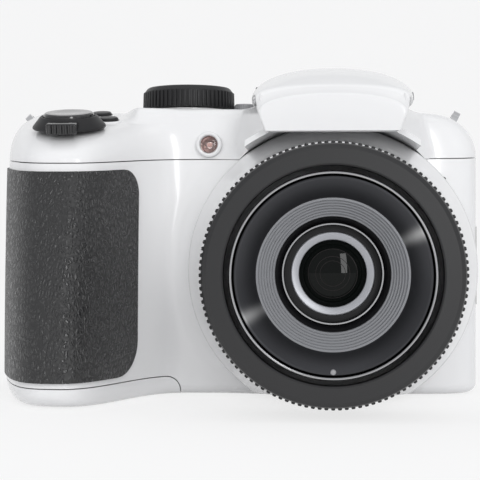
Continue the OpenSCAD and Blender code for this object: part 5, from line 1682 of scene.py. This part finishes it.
@dataclass
class Back:
    """Screen and keys on the back."""

    bench: Bench
    form: BodyForm
    screen: tuple[float, float, float, float] = (-3.7, 33.0, 66.0, 50.0)
    pad: tuple[float, float] = (-57.0, 30.0)

    def build(self) -> None:
        """Makes the screen and the keys."""
        b = self.bench
        x, z, w, h = self.screen
        pane = b.block((x - w / 2 + 0.1, 13.1, z - h / 2 + 0.1), (x + w / 2 - 0.1, 15.2, z + h / 2 - 0.1))
        upright = [e for e in pane.edges if abs((e.verts[0].co - e.verts[1].co).y) > 1e-4]
        bmesh.ops.bevel(
            pane, geom=upright, offset=2.1 * MM, segments=6, profile=0.5, affect="EDGES", material=-1,
            offset_type="OFFSET")
        b.piece("screen_pane", b.soften(pane, 0.25, 3, 60), "body", SCREEN, ["screen_window"])
        self.key("menu_cap", -67.0, 13.0, 3.2, "menu", GREY_PART, "menu_key")
        self.key("play_cap", -48.0, 13.0, 3.2, "play", GREY_PART, "play_key")
        self.key("record_cap", -48.0, 51.0, 3.2, "record", RED, "record_key")
        px, pz = self.pad
        ring = b.turned([
            (3.8, -2.6), (10.2, -2.6), (10.2, -1.8), (9.5, -1.8), (9.5, 0.55), (9.2, 0.85), (8.8, 0.9),
            (6.5, 0.6), (4.4, 0.75), (4.0, 0.7),
            (3.8, 0.5)], facing(px, 15, pz, (0, 1, 0)), 128)
        b.piece("rocker_ring", ring, "pad", GREY_PART, ["four_way_pad"], 30)
        dot = b.turned([(0, 0.62), (0.35, 0.62), (0.35, 0.8), (0, 0.8)],
            Matrix.Translation((7.2 * MM, 0, 0)), 20, False)
        b.piece("rocker_marks", b.around(dot, 4, facing(px, 15, pz, (0, 1, 0))), "pad", MARK)
        knob = b.turned([
            (0, -4.6), (4.3, -4.6), (4.3, -3.8), (3.6, -3.8), (3.6, 0.9), (3.3, 1.2), (0, 1.05)],
            facing(px, 15, pz, (0, 1, 0)), 96, False)
        b.piece("centre_cap", knob, "ok", GREY_PART, ["ok_key"], 30)

    def key(self, name: str, x: float, z: float, r: float, body: str, finish: Finish, node: str) -> None:
        """Round key on the back.

        Args:
            name: The piece's name.
            x: Its X.
            z: Its Z.
            r: Its radius.
            body: The body that carries it.
            finish: Its finish.
            node: The node that it stands for.
        """
        cap = self.bench.turned([
            (0, -2.9), (r + 0.7, -2.9), (r + 0.7, -2.1), (r, -2.1), (r, 0.35), (r - 0.3, 0.7), (0, 0.62)],
            facing(x, 15, z, (0, 1, 0)), 64, False)
        self.bench.piece(name, cap, body, finish, [node], 30)


@dataclass
class Sides:
    """Tripod bush."""

    bench: Bench
    form: BodyForm

    def build(self) -> None:
        """Makes the tripod bush in the base."""
        b = self.bench
        bush = b.turned([
            (2.55, 0.4), (2.95, 0.02), (5.3, 0.02), (5.5, 0.2), (5.5, 6.5), (0, 6.5), (0, 5.5),
            (2.55, 5.5)], Matrix.Identity(4), 64, False)
        b.piece("socket_bush", bush, "body", STEEL, ["tripod_bush"], 30)


class Stage:
    """Floor, light and camera."""

    def __init__(self, bench: Bench) -> None:
        """Keeps the bench."""
        self.bench = bench

    def floor(self) -> None:
        """Pale floor that bends up behind the object."""
        bm = bmesh.new()
        bmesh.ops.create_grid(bm, x_segments=2, y_segments=60, size=1.0)
        for v in bm.verts:
            t = (v.co.y + 1) / 2
            run = t * 5.0 - 1.6
            bend = max(0.0, run - 1.2)
            angle = min(math.pi / 2, bend / 0.8)
            y = min(run, 1.2) + 0.8 * math.sin(angle)
            z = 0.8 * (1 - math.cos(angle)) + max(0.0, bend - 0.8 * math.pi / 2)
            v.co = Vector((v.co.x * 3.5, y, z - 0.0002))
        obj = Bench.solid("sweep", bm)
        obj.data.shade_smooth()
        made = bpy.data.materials.new("pale_sweep")
        made.use_nodes = True
        p = Paint(made.node_tree)
        made.node_tree.nodes.remove(made.node_tree.nodes["Principled BSDF"])
        plain = p.add("ShaderNodeBsdfDiffuse", in_Color=(0.93, 0.93, 0.935, 1.0))
        glow = p.add("ShaderNodeEmission", in_Color=(1.0, 1.0, 1.0, 1.0), in_Strength=1.0)
        path = p.add("ShaderNodeLightPath")
        seen = p.math("MAXIMUM", path.outputs["Is Camera Ray"], p.math(
            "MAXIMUM", path.outputs["Is Glossy Ray"], path.outputs["Is Transmission Ray"]))
        mix = p.add("ShaderNodeMixShader")
        p.link(p.math("MULTIPLY", seen, 0.74), mix.inputs["Fac"])
        p.link(plain.outputs[0], mix.inputs[1])
        p.link(glow.outputs[0], mix.inputs[2])
        p.link(mix.outputs[0], made.node_tree.nodes["Material Output"].inputs["Surface"])
        obj.data.materials.append(made)

    @staticmethod
    def lamp(name: str, place: Sequence[float], aim: Sequence[float], size: Sequence[float],
            power: float) -> bpy.types.Object:
        """Soft box.

        Args:
            name: Its name.
            place: Where it is, in metres.
            aim: What it looks at.
            size: Its width and height.
            power: Its power in watts.

        Returns:
            The lamp.
        """
        data = bpy.data.lights.new(name, "AREA")
        data.shape = "RECTANGLE"
        data.size, data.size_y = size
        data.energy = power
        obj = bpy.data.objects.new(name, data)
        obj.location = place
        obj.rotation_euler = (Vector(aim) - Vector(place)).to_track_quat("-Z", "Y").to_euler()
        bpy.context.scene.collection.objects.link(obj)
        return obj

    def light(self) -> None:
        """Soft studio light and a pale world."""
        aim = (-0.02, -0.03, 0.04)
        self.lamp("front_box", (-0.35, -1.6, 0.5), aim, (0.9, 0.9), 6.0).visible_glossy = False
        self.lamp("side_box", (0.55, -1.6, 0.5), aim, (0.3, 1.0), 8.0)
        self.lamp("fill_box", (0.95, -0.8, 0.55), aim, (0.4, 0.8), 0.4)
        self.lamp("top_box", (0.0, -0.1, 1.2), aim, (1.2, 0.9), 1.2)
        world = bpy.data.worlds.new("pale_room")
        bpy.context.scene.world = world
        world.use_nodes = True
        p = Paint(world.node_tree)
        back = world.node_tree.nodes["Background"]
        back.inputs["Color"].default_value = (0.97, 0.98, 1.0, 1.0)
        path = p.add("ShaderNodeLightPath")
        room = p.add("ShaderNodeMapRange", in_To_Min=0.64, in_To_Max=1.0)
        p.link(path.outputs["Is Camera Ray"], room.inputs["Value"])
        p.link(room.outputs[0], back.inputs["Strength"])

    @staticmethod
    def camera() -> None:
        """Camera at the viewing angle, for a square frame of 480 pixels."""
        eye = Vector((-1.87, -369.0, 40.1)) * MM
        way = Vector(((241.6 - 326) / 1393, 1.0, (233.7 - 237.5) / 1393))
        data = bpy.data.cameras.new("viewpoint")
        data.sensor_width = 36.0
        data.lens = 36.0 * 1393 / 480 * way.length
        data.clip_start, data.clip_end = 0.01, 50.0
        obj = bpy.data.objects.new("viewpoint", data)
        obj.location = eye
        obj.rotation_euler = way.to_track_quat("-Z", "Y").to_euler()
        bpy.context.scene.collection.objects.link(obj)
        bpy.context.scene.camera = obj

    def build(self) -> None:
        """Sets the stage."""
        self.camera()
        self.floor()
        self.light()
        bpy.context.scene.view_settings.view_transform = "Standard"


def dress_nodes(bench: Bench) -> None:
    """Gives each node of the frame the finish of its slot.

    Args:
        bench: The maker of finishes.
    """
    for part in frame["record"]["subparts"]:
        obj = frame["nodes"].get(part["node"])
        if obj is not None:
            obj.data.materials.clear()
            obj.data.materials.append(bench.paint(NODE_FINISH[Slot(part["material_slot"])]))


def main() -> None:
    """Builds the camera and its stage."""
    logging.basicConfig(level=logging.INFO)
    bench, form = Bench(), BodyForm()
    dress_nodes(bench)
    Stage(bench).build()
    for part in (Covers, Grip, Lens, Flash, Controls, FrontDetails, Back, Sides):
        part(bench, form).build()
        LOG.info("%s done", part.__name__)


if __name__ == "__main__":
    main()
